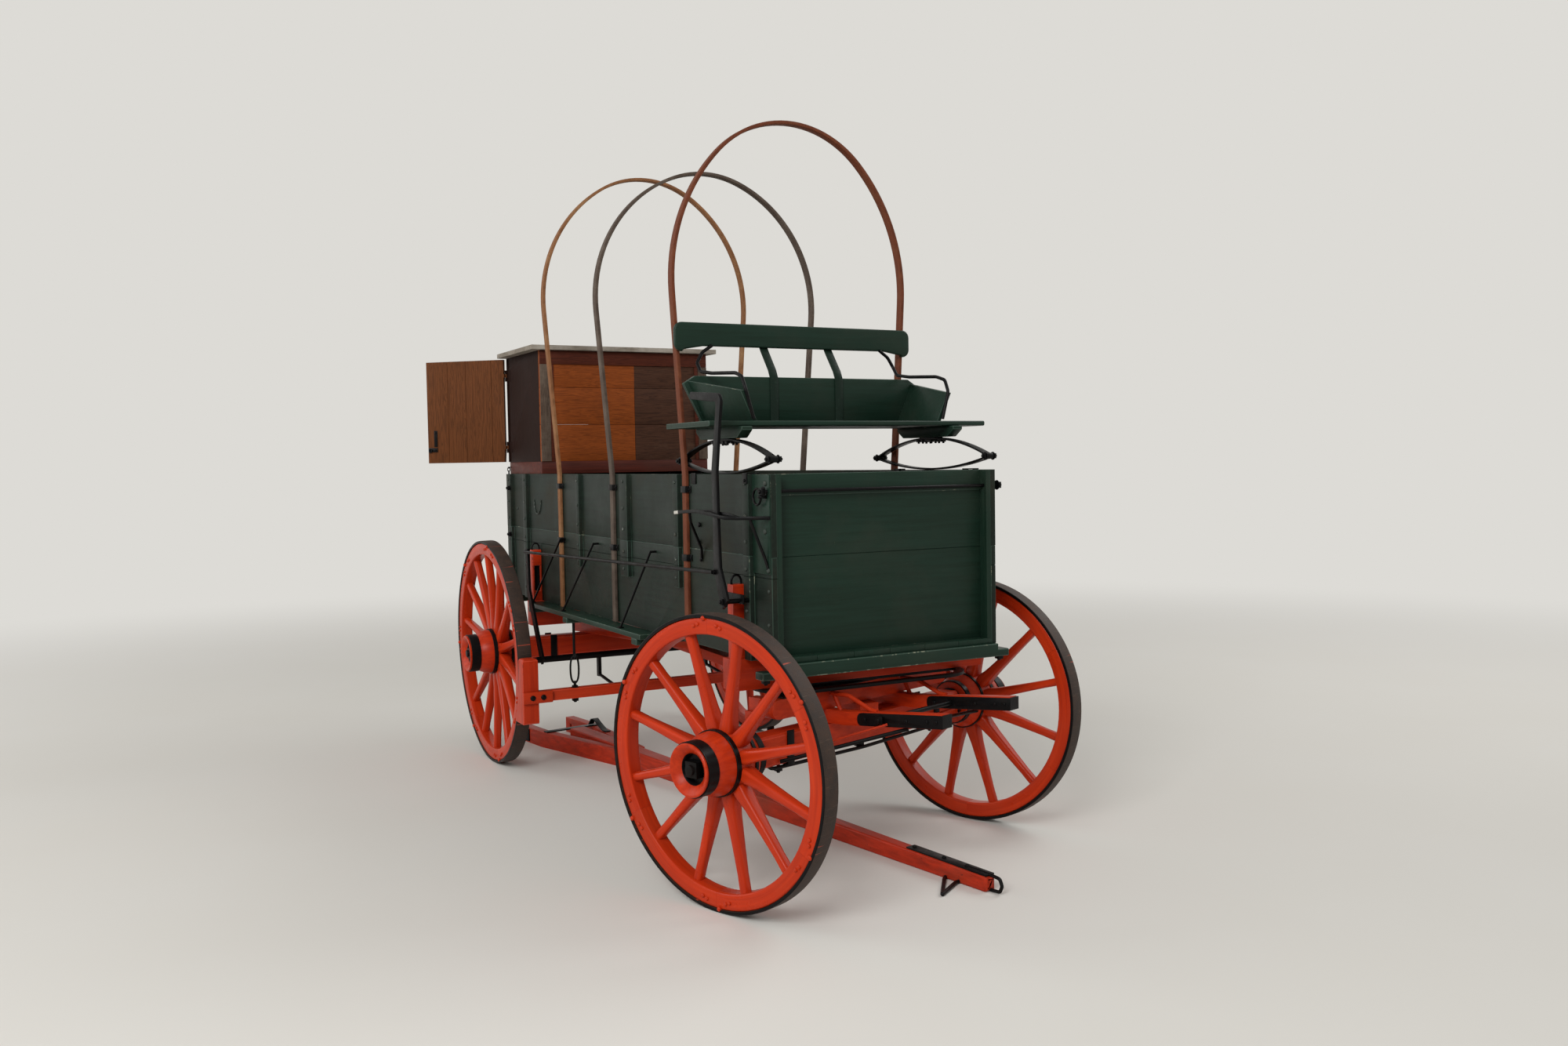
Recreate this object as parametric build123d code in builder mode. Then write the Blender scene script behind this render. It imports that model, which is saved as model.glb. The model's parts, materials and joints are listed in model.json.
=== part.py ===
import os
from math import acos, atan2, cos, degrees, radians, sin
from build123d import *

# A horse-drawn farm wagon fitted out as a chuck wagon: a double box on a wooden running gear
# with four spoked wheels, three bare cover hoops, a sprung driver's seat, a side brake and a
# cupboard over the tail. All lengths are millimetres.
# X points forward, Y to the wagon's left and Z up. Places are given from the point on the floor
# below the kingpin, and keep() then moves the origin to the middle of the whole outline.

# Middle of the whole outline in plan
MIDDLE = (-1263.5, 0.0)

# Wheels
FRONT_WHEEL_D = 1024
REAR_WHEEL_D = 1150
TRACK = 1510
WHEELBASE = 2400
TYRE_W = 68
TYRE_T = 12
FELLOE_DEPTH = 58
FELLOE_W = 60
SPOKE_DISH = 30
SPOKE_FOOT = (44, 58)
SPOKE_TIP = (31, 36)
SPOKE_EDGE = 9
FRONT_SPOKES = 12
REAR_SPOKES = 14
CAMBER = 1.2
STEER_REST = 19
FIT = 0.3

# Hub, along the wheel's axis from the middle of the rim, outwards positive
HUB_INNER_END = -150
HUB_OUTER_END = 140
HUB_BARREL_R = 112
HUB_BARREL_ENDS = (-80, 20)
HUB_INNER_R = 85
HUB_NOSE_R = 90
HUB_MOUTH_R = 92
HUB_CUP_R = 62
HUB_CUP_DEPTH = 45
ARM_INNER_R = 38
ARM_OUTER_R = 27
RUNNING_FIT = 0.4
COLLAR_R = 60
COLLAR_T = 11
NUT_SIZE = 54
NUT_T = 30
STUD_R = 18
SPOKE_TENON = 15
FELLOE_CHAMFER = 6
HUB_SHOULDER = 64
HUB_FLARE = 22
HUB_TAIL = 28

# Running gear timbers
AXLE_W = 90
AXLE_H = 110
HOUND_W = 45
HOUND_H = 50
HOUND_Y = 210
HOUND_BACK = 360
HOUND_FRONT = 560
HOUND_RISE = 40
HOUND_BEND = 120
SLIDER_H = 38
SLIDER_W = 60
SAND_BOLSTER_W = 80
SAND_BOLSTER_H = 70
SAND_BOLSTER_HALF = 520
WEAR_PLATE_T = 5
RING_T = 12
RING_W = 32
RING_HALF_X = 170
RING_HALF_Y = 450
RING_CORNER_R = 150
BOLSTER_W = 90
BOLSTER_OUT = 65
KINGPIN_R = 11
PIN_CLEARANCE = 1
REACH_W = 80
REACH_H = 44
REACH_NOSE = 80
REACH_TAIL = 420
REAR_HOUND_H = 60
REAR_HOUND_FRONT = 950
REAR_HOUND_HALF = 280
STAKE_T = 50
STAKE_W = 44
STAKE_GAP = 2
STAKE_TOP = 1092
TONGUE_PIN_R = 9.5
TONGUE_PIN_X = 300
TONGUE_PIN_END = 12
TONGUE_PIN_NUT = (30, 14)

TIMBER_CHAMFER = 8
PLATE_T = 6
PLATE_BACK = 190
BRACE_R = 9
BRACE_Y = 400
BRACE_KNEE = (150, 330, 25)
BRACE_FOOT_X = 250
STAY_R = 7
STAY_Y = 500
STAY_FRONT_X = 400
RING_BAR_W = 80

# Box
PLANK_TOP = 822
BOX_FRONT = 230
BOX_LENGTH = 3160
BOX_HALF = 485
BOARD_T = 22
LOWER_BOX_H = 377
UPPER_BOX_H = 291
FLOOR_T = 22
FLOOR_BOARDS = 6
SILL_H = 50
SILL_W = 60
CLEAT_T = 20
PLANK_T = 22
PLANK_W = 88
PLANK_ENDS = (BOLSTER_W / 2 + 5 - WHEELBASE, BOX_FRONT - 0.326 * BOX_LENGTH)
BOARD_GAP = 1
POST_W = 40
SILLS = (
    # middle along the box, how far it stands out beyond the side
    (BOX_FRONT - 15, 50),
    (BOX_FRONT - 0.348 * BOX_LENGTH, PLANK_W),
    (BOX_FRONT - 0.633 * BOX_LENGTH, PLANK_W),
    (BOX_FRONT - 0.807 * BOX_LENGTH, PLANK_W),
    (BOX_FRONT - BOX_LENGTH + SILL_W / 2, 0),
)
CLEATS = (
    # middle along the box, width, foot height
    (BOX_FRONT - BOX_LENGTH + 35, 70, 822),
    (BOX_FRONT - 0.8955 * BOX_LENGTH, 60, 822),
    (BOX_FRONT - 0.6235 * BOX_LENGTH, 40, 1045),
    (BOX_FRONT - 0.432 * BOX_LENGTH, 90, 1040),
    (BOX_FRONT - 0.25 * BOX_LENGTH, 50, 1035),
    (BOX_FRONT - 160, 50, 822),
)

# Hoops that would carry a cloth cover
BOW_W = 38
BOW_T = 14
CROWN_IN = 35

FOOT_LIFT = 8
HOOPS = {
    # name: (place along the box, foot height, height where it is widest, bulge beyond the side,
    # how much more it rises above its widest place than it is half wide)
    "rear": (BOX_FRONT - 0.7152 * BOX_LENGTH, PLANK_TOP, 2350, 70, 85),
    "middle": (BOX_FRONT - 0.481 * BOX_LENGTH, PLANK_TOP, 2270, 68, 47),
    "front": (BOX_FRONT - 0.2247 * BOX_LENGTH, PLANK_TOP + FOOT_LIFT, 2250, 50, 125),
}
SIDE_RODS = (
    # place of the top, how far back the foot is
    (BOX_FRONT - 0.7025 * BOX_LENGTH, 330),
    (BOX_FRONT - 0.5513 * BOX_LENGTH, 325),
    (BOX_FRONT - 0.3307 * BOX_LENGTH, 245),
)
ROD_R = 5
ROD_TOP_OUT = 25
ROD_TOP_Z = 1165
ROD_FOOT_OUT = 71
FRONT_ROD_R = 6

# Driver's seat on its springs
SPRING_OUT = 3
SPRING_X = (-550, 220)
SPRING_EYE_Z = 1542
SPRING_CROWN_Z = 1622
LEAF_W = 32
LEAF_T = 7
SECOND_LEAF = 0.72
EYE_R = 12
RISER_X = (-380, 20)
RISER_TAPER = 42
RISER_W = 45
RISER_H = 42
SEAT_X = (-385, 5)
SEAT_OUT = 125
SEAT_T = 20
SEAT_BACK_H = 186
SEAT_BACK_IN = 110
SEAT_BACK_FLARE = 10
SEAT_PANEL_T = 18
SEAT_END_X = -25
SEAT_END_FRONT_H = 112
SEAT_END_IN = (140, 65)
BACKREST_X = -455
BACKREST_Z = (1992, 2084)
BACKREST_DROOP = 22
STRAP_Y = 150
STRAP_W = 38
STRAP_T = 5
ARM_R = 7

# Side brake
LEVER_OUT = 115
LEVER_T = 12
LEVER_OUTLINE = (
    (74, 1012), (118, 1046), (60, 1160), (52, 1300), (46, 1500), (78, 1690), (92, 1752), (76, 1778),
    (-172, 1796), (-172, 1768), (52, 1748), (44, 1700), (6, 1510), (10, 1300), (8, 1150), (44, 1060),
)
LEVER_PIVOT = (84, 1040)
BRAKE_ROD_ENDS = ((22, 1142), (-2254, 1092))
BRAKE_ROD_R = 7
BRAKE_PIN_R = 9
SHAFT_ARM_OUTLINE = (
    (-2270, 1108), (-2238, 1108), (-2225, 900), (-2026, 564), (-2052, 536), (-2078, 564), (-2262, 880),
)
RATCHET_Z = (1326, 1352)
BLOCK_CLEAR = 8
BLOCK_W = 76
BLOCK_Z = (300, 615)
BEAM_X = (-1795, -1745)
BEAM_Z = (405, 455)
SHAFT_X = -2052
SHAFT_Z = 560
SHAFT_OUT = 30

# Cupboard over the tail
CHUCK_X = (BOX_FRONT - BOX_LENGTH - 10, BOX_FRONT - BOX_LENGTH + 570)
CHUCK_IN = 7
CHUCK_Z = (1555, 2138)
CHUCK_LID_X = (BOX_FRONT - BOX_LENGTH - 42, BOX_FRONT - BOX_LENGTH + 605)
CHUCK_LID_OUT = 50
CHUCK_LID_T = 24
CHUCK_WALL = 20
CHUCK_RAIL_W = 30
SHELF_Z = 1790
PIGEON_Y = (-160, 160)
DOOR_T = 20
DOOR_GAP = 5
DOOR_PIN_R = 4
DOOR_PIN_FIT = 0.3
DOOR_PIN_OUT = 9
KNUCKLE_R = 7
KNUCKLE_H = 20
HINGE_Z = (1640, 2040)
DOOR_OPEN = 137.5

# Tongue lying on the floor
TONGUE_TIP = (630, 200)
TONGUE_REAR = (-2850, -320)
TONGUE_ROOT = (90, 100)
TONGUE_NOSE = (50, 56)
FORK_HALF = 172
FORK_T = 50
FORK_H = 84
FORK_LENGTH = 950
POLE_START = 350
PIN_SETBACK = 30

# Worked out from the sizes above
front_wheel_r = FRONT_WHEEL_D / 2
rear_wheel_r = REAR_WHEEL_D / 2
camber_rise = TYRE_W / 2 * sin(radians(CAMBER))
front_hub_z = front_wheel_r * cos(radians(CAMBER)) + camber_rise
rear_hub_z = rear_wheel_r * cos(radians(CAMBER)) + camber_rise
arm_drop = -HUB_INNER_END * sin(radians(CAMBER))
front_axle_z = front_hub_z + arm_drop
rear_axle_z = rear_hub_z + arm_drop
axle_half = TRACK / 2 + (HUB_INNER_END - COLLAR_T) * cos(radians(CAMBER)) - COLLAR_R * sin(radians(CAMBER)) - FIT
front_axle_top = front_axle_z + AXLE_H / 2
rear_axle_top = rear_axle_z + AXLE_H / 2
hound_top = front_axle_top + HOUND_H
sand_bolster_top = hound_top + SAND_BOLSTER_H
ring_z = sand_bolster_top + WEAR_PLATE_T + RUNNING_FIT
bolster_z = ring_z + RING_T
floor_z = PLANK_TOP
rear_bolster_z = rear_axle_top + REAR_HOUND_H
box_rear = BOX_FRONT - BOX_LENGTH
seam_z = floor_z + LOWER_BOX_H
box_top = seam_z + UPPER_BOX_H
inner_half = BOX_HALF - BOARD_T
bolster_half = BOX_HALF + BOLSTER_OUT
stake_y = BOX_HALF + STAKE_GAP
seat_y = inner_half + SPRING_OUT
seat_half = BOX_HALF + SEAT_OUT
seat_back_half = (seat_half - SEAT_BACK_IN, seat_half + SEAT_BACK_FLARE)
seat_end_y = (seat_half - SEAT_END_IN[0], seat_half - SEAT_END_IN[1])
lever_y = -BOX_HALF - LEVER_OUT
shaft_half = BOX_HALF + LEVER_OUT + SHAFT_OUT
block_y = (TRACK / 2 - BLOCK_W / 2, TRACK / 2 + BLOCK_W / 2)
chuck_half = BOX_HALF - CHUCK_IN
front_rod_x = BOX_FRONT - POST_W / 2 + 4
front_rod_z = box_top - 60
rear_x = -WHEELBASE

os.makedirs("parts", exist_ok=True)


def keep(part, name):
    """move a finished piece to the wagon's own origin, label it and write it"""
    placed = part.moved(Location((-MIDDLE[0], -MIDDLE[1], 0)))
    placed.label = name
    export_step(placed, f"parts/{name}.step")


def block(x, y, z):
    """a squared timber or plate between two ends along each axis"""
    with Locations(((x[0] + x[1]) / 2, (y[0] + y[1]) / 2, (z[0] + z[1]) / 2)):
        Box(x[1] - x[0], y[1] - y[0], z[1] - z[0])


def side_profile(points, y):
    """an outline in X and Z, as thick as the two Y ends say"""
    with BuildSketch(Plane.XZ.offset(-y[1])) as outline:
        with BuildLine():
            Polyline(*points, close=True)
        make_face()
    extrude(outline.sketch, amount=y[1] - y[0])


def plan_profile(points, z):
    """an outline in X and Y, as thick as the two Z ends say"""
    with BuildSketch(Plane.XY.offset(z[0])) as outline:
        with BuildLine():
            Polyline(*points, close=True)
        make_face()
    extrude(outline.sketch, amount=z[1] - z[0])


def end_profile(points, x):
    """an outline in Y and Z, as thick as the two X ends say"""
    with BuildSketch(Plane.YZ.offset(x[0])) as outline:
        with BuildLine():
            Polyline(*points, close=True)
        make_face()
    extrude(outline.sketch, amount=x[1] - x[0])


def round_bar(start, end, radius):
    """a round bar from one point to another"""
    along = Vector(*end) - Vector(*start)
    with BuildSketch(Plane(origin=start, z_dir=along)) as section:
        Circle(radius)
    extrude(section.sketch, amount=along.length)


def bent_rod(points, radius):
    """a round rod that bends at each of a row of points"""
    with BuildLine() as run:
        Polyline(*points)
    with BuildSketch(Plane(origin=points[0], z_dir=Vector(*points[1]) - Vector(*points[0]))) as section:
        Circle(radius)
    sweep(section.sketch, path=run.line, transition=Transition.RIGHT)


def both_sides(low, high, side):
    """the two Y ends of a piece that lies between low and high out from the middle"""
    return (side * low, side * high) if side > 0 else (side * high, side * low)


# Places of the wheels: name, hub height, distance back from the kingpin, side, steered or not
steer_turn = Location((0, 0, 0), (0, 0, STEER_REST))


def wheel_place(x, side, hub_z, steered):
    """the wheel's own frame, with its Z along the axle arm and outwards"""
    out = (0, side * cos(radians(CAMBER)), -sin(radians(CAMBER)))
    straight = Plane(origin=(x, side * TRACK / 2, hub_z), x_dir=(1, 0, 0), z_dir=out).location
    return steer_turn * straight if steered else straight


WHEELS = {
    # name: (diameter, spokes, place)
    "front_right": (FRONT_WHEEL_D, FRONT_SPOKES, wheel_place(0, -1, front_hub_z, True)),
    "front_left": (FRONT_WHEEL_D, FRONT_SPOKES, wheel_place(0, 1, front_hub_z, True)),
    "rear_right": (REAR_WHEEL_D, REAR_SPOKES, wheel_place(rear_x, -1, rear_hub_z, False)),
    "rear_left": (REAR_WHEEL_D, REAR_SPOKES, wheel_place(rear_x, 1, rear_hub_z, False)),
}


def wheel_wood(diameter, count):
    """hub bored for the axle arm, tapered eight-sided spokes that dish outwards, and the felloes"""
    felloe_r = diameter / 2 - TYRE_T - FELLOE_DEPTH
    cup_floor = HUB_OUTER_END - HUB_CUP_DEPTH
    foot_r = HUB_BARREL_R - 20
    with BuildPart() as spoke:
        for r, size, dish in ((foot_r, SPOKE_FOOT, -SPOKE_DISH), (felloe_r + SPOKE_TENON, SPOKE_TIP, 0)):
            wide, deep = size[0] / 2, size[1] / 2
            with BuildSketch(Plane.YZ.offset(r)):
                with BuildLine():
                    Polyline(
                        (SPOKE_EDGE - wide, dish - deep),
                        (wide - SPOKE_EDGE, dish - deep),
                        (wide, dish + SPOKE_EDGE - deep),
                        (wide, dish + deep - SPOKE_EDGE),
                        (wide - SPOKE_EDGE, dish + deep),
                        (SPOKE_EDGE - wide, dish + deep),
                        (-wide, dish + deep - SPOKE_EDGE),
                        (-wide, dish + SPOKE_EDGE - deep),
                        close=True,
                    )
                make_face()
        loft(ruled=True)
    with BuildPart() as wood:
        with BuildSketch(Plane.XZ):
            with BuildLine():
                Polyline(
                    (ARM_INNER_R, HUB_INNER_END),
                    (HUB_INNER_R, HUB_INNER_END),
                    (HUB_INNER_R, HUB_INNER_END + HUB_TAIL),
                    (HUB_BARREL_R, HUB_BARREL_ENDS[0]),
                    (HUB_BARREL_R, HUB_BARREL_ENDS[1]),
                    (HUB_NOSE_R, HUB_BARREL_ENDS[1] + HUB_SHOULDER),
                    (HUB_NOSE_R, HUB_OUTER_END - HUB_FLARE),
                    (HUB_MOUTH_R, HUB_OUTER_END),
                    (HUB_CUP_R, HUB_OUTER_END),
                    (HUB_CUP_R, cup_floor),
                    (ARM_OUTER_R, cup_floor),
                    close=True,
                )
            make_face()
        revolve(axis=Axis.Z)
        with BuildSketch(Plane.XZ):
            with Locations((felloe_r + (FELLOE_DEPTH - FIT) / 2, 0)):
                Rectangle(FELLOE_DEPTH - FIT, FELLOE_W)
        revolve(axis=Axis.Z)
        chamfer(wood.faces().filter_by(GeomType.CYLINDER).sort_by(SortBy.AREA)[-2].edges(), FELLOE_CHAMFER)
        with PolarLocations(0, count, start_angle=180 / count):
            add(spoke.part)
    return wood.part


def tyre_iron(diameter):
    """flat iron tyre shrunk round the felloes"""
    with BuildPart() as iron:
        with BuildSketch(Plane.XY.offset(-TYRE_W / 2)):
            Circle(diameter / 2)
            Circle(diameter / 2 - TYRE_T, mode=Mode.SUBTRACT)
        extrude(amount=TYRE_W)
    return iron.part


def axle_arm(place):
    """tapered axle arm with its collar, stud and square nut, in the wheel's own frame"""
    stud_end = HUB_OUTER_END - HUB_CUP_DEPTH + NUT_T + 12
    nut_z = HUB_OUTER_END - HUB_CUP_DEPTH + 2
    with BuildPart() as arm:
        with BuildSketch(Plane.XZ):
            with BuildLine():
                Polyline(
                    (0, HUB_INNER_END - COLLAR_T),
                    (COLLAR_R, HUB_INNER_END - COLLAR_T),
                    (COLLAR_R, HUB_INNER_END - RUNNING_FIT),
                    (ARM_INNER_R - RUNNING_FIT, HUB_INNER_END - RUNNING_FIT),
                    (ARM_OUTER_R - RUNNING_FIT, nut_z),
                    (STUD_R, nut_z),
                    (STUD_R, stud_end),
                    (0, stud_end),
                    close=True,
                )
            make_face()
        revolve(axis=Axis.Z)
        with Locations((0, 0, nut_z + NUT_T / 2)):
            Box(NUT_SIZE, NUT_SIZE, NUT_T)
    with BuildPart() as placed:
        with Locations(place):
            add(arm.part)
    return placed.part


wood_of = {}
tyre_of = {}
for name, (diameter, count, place) in WHEELS.items():
    if diameter not in wood_of:
        wood_of[diameter] = wheel_wood(diameter, count)
        tyre_of[diameter] = tyre_iron(diameter)
    for pattern, kind in ((wood_of[diameter], "wheel"), (tyre_of[diameter], "tyre")):
        with BuildPart() as piece:
            with Locations(place):
                add(pattern)
        keep(piece.part, f"{kind}_{name}")

for end in ("front", "rear"):
    with BuildPart() as arms:
        for side in ("right", "left"):
            add(axle_arm(WHEELS[f"{end}_{side}"][2]))
    keep(arms.part, f"{end}_axle_arms")


# Front gear, built straight and then turned to the angle it is steered to
def keep_steered(part, name):
    """turn a piece of the front gear with the steering and write it"""
    with BuildPart() as turned:
        with Locations(steer_turn):
            add(part)
    keep(turned.part, name)


def pin_hole(radius, z):
    """a hole for the kingpin through a piece between two heights"""
    with Locations((0, 0, (z[0] + z[1]) / 2)):
        Cylinder(radius, z[1] - z[0] + 2, mode=Mode.SUBTRACT)


front_axle_bottom = front_axle_top - AXLE_H
turning_hole_r = KINGPIN_R + PIN_CLEARANCE
with BuildPart() as front_axle:
    block((-AXLE_W / 2, AXLE_W / 2), (-axle_half, axle_half), (front_axle_bottom, front_axle_top))
    chamfer(front_axle.edges().filter_by(Axis.Y), TIMBER_CHAMFER)
    pin_hole(turning_hole_r, (front_axle_bottom, front_axle_top))
keep_steered(front_axle.part, "front_axle")

with BuildPart() as sand_bolster:
    block((-SAND_BOLSTER_W / 2, SAND_BOLSTER_W / 2), (-SAND_BOLSTER_HALF, SAND_BOLSTER_HALF),
          (hound_top, sand_bolster_top))
    ends = sand_bolster.edges().filter_by(Axis.X)
    fillet(ends, SAND_BOLSTER_H / 2 - 1)
    pin_hole(turning_hole_r, (hound_top, sand_bolster_top))
keep_steered(sand_bolster.part, "sand_bolster")

hound_front_z = front_axle_top + HOUND_RISE
hound_outline = (
    (-HOUND_BACK, front_axle_top),
    (HOUND_BEND, front_axle_top),
    (HOUND_FRONT, hound_front_z),
    (HOUND_FRONT, hound_front_z + HOUND_H),
    (HOUND_BEND, hound_top),
    (-HOUND_BACK, hound_top),
)
tongue_pin_z = front_axle_top + HOUND_H / 2 + HOUND_RISE * (TONGUE_PIN_X - HOUND_BEND) / (HOUND_FRONT - HOUND_BEND)
slider_x = (-HOUND_BACK, -HOUND_BACK + SLIDER_W)
with BuildPart() as front_hounds:
    for side in (-1, 1):
        side_profile(hound_outline, both_sides(HOUND_Y - HOUND_W / 2, HOUND_Y + HOUND_W / 2, side))
    block(slider_x, (-HOUND_Y - HOUND_W, HOUND_Y + HOUND_W), (front_axle_top - SLIDER_H, front_axle_top))
    with Locations(Location((TONGUE_PIN_X, 0, tongue_pin_z), (90, 0, 0))):
        Cylinder(TONGUE_PIN_R, 3 * HOUND_Y, mode=Mode.SUBTRACT)
keep_steered(front_hounds.part, "front_hounds")

plate_slope = HOUND_RISE / (HOUND_FRONT - HOUND_BEND)
plate_back_z = front_axle_top + plate_slope * (PLATE_BACK - HOUND_BEND)
plate_outline = (
    (PLATE_BACK, plate_back_z + 2),
    (HOUND_FRONT + PLATE_T, hound_front_z + 2),
    (HOUND_FRONT + PLATE_T, hound_front_z + HOUND_H - 2),
    (PLATE_BACK, plate_back_z + HOUND_H - 2),
)
with BuildPart() as front_gear_irons:
    for side in (-1, 1):
        for face in (HOUND_Y - HOUND_W / 2 - PLATE_T, HOUND_Y + HOUND_W / 2):
            side_profile(plate_outline, both_sides(face, face + PLATE_T, side))
        block((HOUND_FRONT, HOUND_FRONT + PLATE_T), both_sides(HOUND_Y - HOUND_W / 2, HOUND_Y + HOUND_W / 2, side),
              (hound_front_z + 2, hound_front_z + HOUND_H - 2))
    with Locations(Location((TONGUE_PIN_X, 0, tongue_pin_z), (90, 0, 0))):
        Cylinder(TONGUE_PIN_R, 3 * HOUND_Y, mode=Mode.SUBTRACT)

nut_size, nut_t = TONGUE_PIN_NUT
jaw_face = HOUND_Y + HOUND_W / 2 + PLATE_T + FIT
pin_end = jaw_face + nut_t + TONGUE_PIN_END
with BuildPart() as tongue_pin:
    round_bar((TONGUE_PIN_X, -pin_end, tongue_pin_z), (TONGUE_PIN_X, pin_end, tongue_pin_z), TONGUE_PIN_R - FIT)
    for side in (-1, 1):
        block((TONGUE_PIN_X - nut_size / 2, TONGUE_PIN_X + nut_size / 2), both_sides(jaw_face, jaw_face + nut_t, side),
              (tongue_pin_z - nut_size / 2, tongue_pin_z + nut_size / 2))
keep_steered(tongue_pin.part, "tongue_pin")

brace_z = hound_top + SAND_BOLSTER_H / 2
brace_foot_z = hound_top + plate_slope * (BRACE_FOOT_X - HOUND_BEND)
stay_z = front_axle_bottom + 15
with front_gear_irons:
    for side in (-1, 1):
        start = (SAND_BOLSTER_W / 2 + BRACE_R, side * BRACE_Y, brace_z)
        knee = (BRACE_KNEE[0], side * BRACE_KNEE[1], brace_z + BRACE_KNEE[2])
        foot = (BRACE_FOOT_X, side * HOUND_Y, brace_foot_z + BRACE_R + FIT)
        bent_rod((start, knee, foot), BRACE_R)
        stay_start = (AXLE_W / 2 + STAY_R, side * STAY_Y, stay_z)
        stay_end = (STAY_FRONT_X, side * HOUND_Y, hound_front_z - (HOUND_FRONT - STAY_FRONT_X) * plate_slope - STAY_R)
        round_bar(stay_start, stay_end, STAY_R)
    with Locations((0, 0, sand_bolster_top + WEAR_PLATE_T / 2)):
        Box(RING_BAR_W, 2 * RING_HALF_Y + 20, WEAR_PLATE_T)
    pin_hole(turning_hole_r, (sand_bolster_top, ring_z))
keep_steered(front_gear_irons.part, "front_gear_irons")


# Reach and rear gear, which the box stands on
kingpin_bottom = front_axle_bottom - 24
with BuildPart() as kingpin:
    round_bar((0, 0, kingpin_bottom), (0, 0, floor_z - 6), KINGPIN_R)
    with BuildSketch(Plane.XY.offset(kingpin_bottom + 2)):
        RegularPolygon(20, 6)
    extrude(amount=18)
keep(kingpin.part, "kingpin")

reach_front_z = front_axle_top + HOUND_H / 2
reach_rear_z = rear_axle_top + REACH_H / 2 + 1.5
reach_slope = (reach_rear_z - reach_front_z) / WHEELBASE
reach_back_x = rear_x - REACH_TAIL


def reach_z(x):
    """height of the reach's middle at a place along it"""
    return reach_front_z - reach_slope * x


with BuildPart() as reach:
    side_profile(
        (
            (REACH_NOSE, reach_z(REACH_NOSE) - REACH_H / 2),
            (REACH_NOSE, reach_z(REACH_NOSE) + REACH_H / 2),
            (reach_back_x, reach_z(reach_back_x) + REACH_H / 2),
            (reach_back_x, reach_z(reach_back_x) - REACH_H / 2),
        ),
        (-REACH_W / 2, REACH_W / 2),
    )
    pin_hole(KINGPIN_R + FIT, (reach_front_z - REACH_H, reach_front_z + REACH_H))
keep(reach.part, "reach")

with BuildPart() as bolster_ring:
    with BuildSketch(Plane.XY.offset(ring_z)):
        RectangleRounded(2 * RING_HALF_X, 2 * RING_HALF_Y, RING_CORNER_R)
        RectangleRounded(2 * (RING_HALF_X - RING_W), 2 * (RING_HALF_Y - RING_W), RING_CORNER_R - RING_W,
                         mode=Mode.SUBTRACT)
    extrude(amount=RING_T)
    block((-RING_BAR_W / 2, RING_BAR_W / 2), (RING_W / 2 - RING_HALF_Y, RING_HALF_Y - RING_W / 2), (ring_z, bolster_z))
    pin_hole(KINGPIN_R + FIT, (ring_z, bolster_z))
keep(bolster_ring.part, "bolster_ring")

with BuildPart() as front_bolster:
    block((-BOLSTER_W / 2, BOLSTER_W / 2), (-bolster_half, bolster_half), (bolster_z, floor_z))
    pin_hole(KINGPIN_R + FIT, (bolster_z, floor_z))
    for side in (-1, 1):
        block((-STAKE_W / 2, STAKE_W / 2), both_sides(stake_y, stake_y + STAKE_T, side), (floor_z, STAKE_TOP))
keep(front_bolster.part, "front_bolster")

with BuildPart() as rear_bolster:
    block((rear_x - BOLSTER_W / 2, rear_x + BOLSTER_W / 2), (-bolster_half, bolster_half), (rear_bolster_z, floor_z))
    for side in (-1, 1):
        block((rear_x - STAKE_W / 2, rear_x + STAKE_W / 2), both_sides(stake_y, stake_y + STAKE_T, side),
              (floor_z, STAKE_TOP))
keep(rear_bolster.part, "rear_bolster")

rear_axle_bottom = rear_axle_top - AXLE_H
with BuildPart() as rear_axle:
    block((rear_x - AXLE_W / 2, rear_x + AXLE_W / 2), (-axle_half, axle_half), (rear_axle_bottom, rear_axle_top))
    chamfer(rear_axle.edges().filter_by(Axis.Y), TIMBER_CHAMFER)
keep(rear_axle.part, "rear_axle")

hound_side = REACH_W / 2 + FIT
with BuildPart() as rear_hounds:
    for side in (-1, 1):
        plan_profile(
            (
                (rear_x + REAR_HOUND_FRONT, side * hound_side),
                (rear_x + REAR_HOUND_FRONT - 200, side * hound_side),
                (rear_x - AXLE_W, side * (REAR_HOUND_HALF - HOUND_W)),
                (rear_x - AXLE_W, side * REAR_HOUND_HALF),
            ),
            (rear_axle_top, rear_bolster_z),
        )
keep(rear_hounds.part, "rear_hounds")


# Box
board_pitch = 2 * inner_half / FLOOR_BOARDS
with BuildPart() as box_floor:
    for i in range(FLOOR_BOARDS):
        low = -inner_half + i * board_pitch
        block((box_rear, BOX_FRONT), (low + BOARD_GAP / 2, low + board_pitch - BOARD_GAP / 2),
              (floor_z, floor_z + FLOOR_T))
keep(box_floor.part, "box_floor")

sill_bottom = floor_z - SILL_H
plank_bottom = floor_z - PLANK_T
plank_out = BOX_HALF + PLANK_W
with BuildPart() as box_sills:
    for x, out in SILLS:
        half = BOX_HALF + out
        block((x - SILL_W / 2, x + SILL_W / 2), (-half, half), (sill_bottom, plank_bottom))
        block((x - SILL_W / 2, x + SILL_W / 2), (-BOX_HALF, BOX_HALF), (plank_bottom, floor_z))
keep(box_sills.part, "box_sills")

with BuildPart() as side_planks:
    for side in (-1, 1):
        block(PLANK_ENDS, both_sides(BOX_HALF, plank_out, side), (plank_bottom, floor_z))
keep(side_planks.part, "side_planks")

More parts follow.
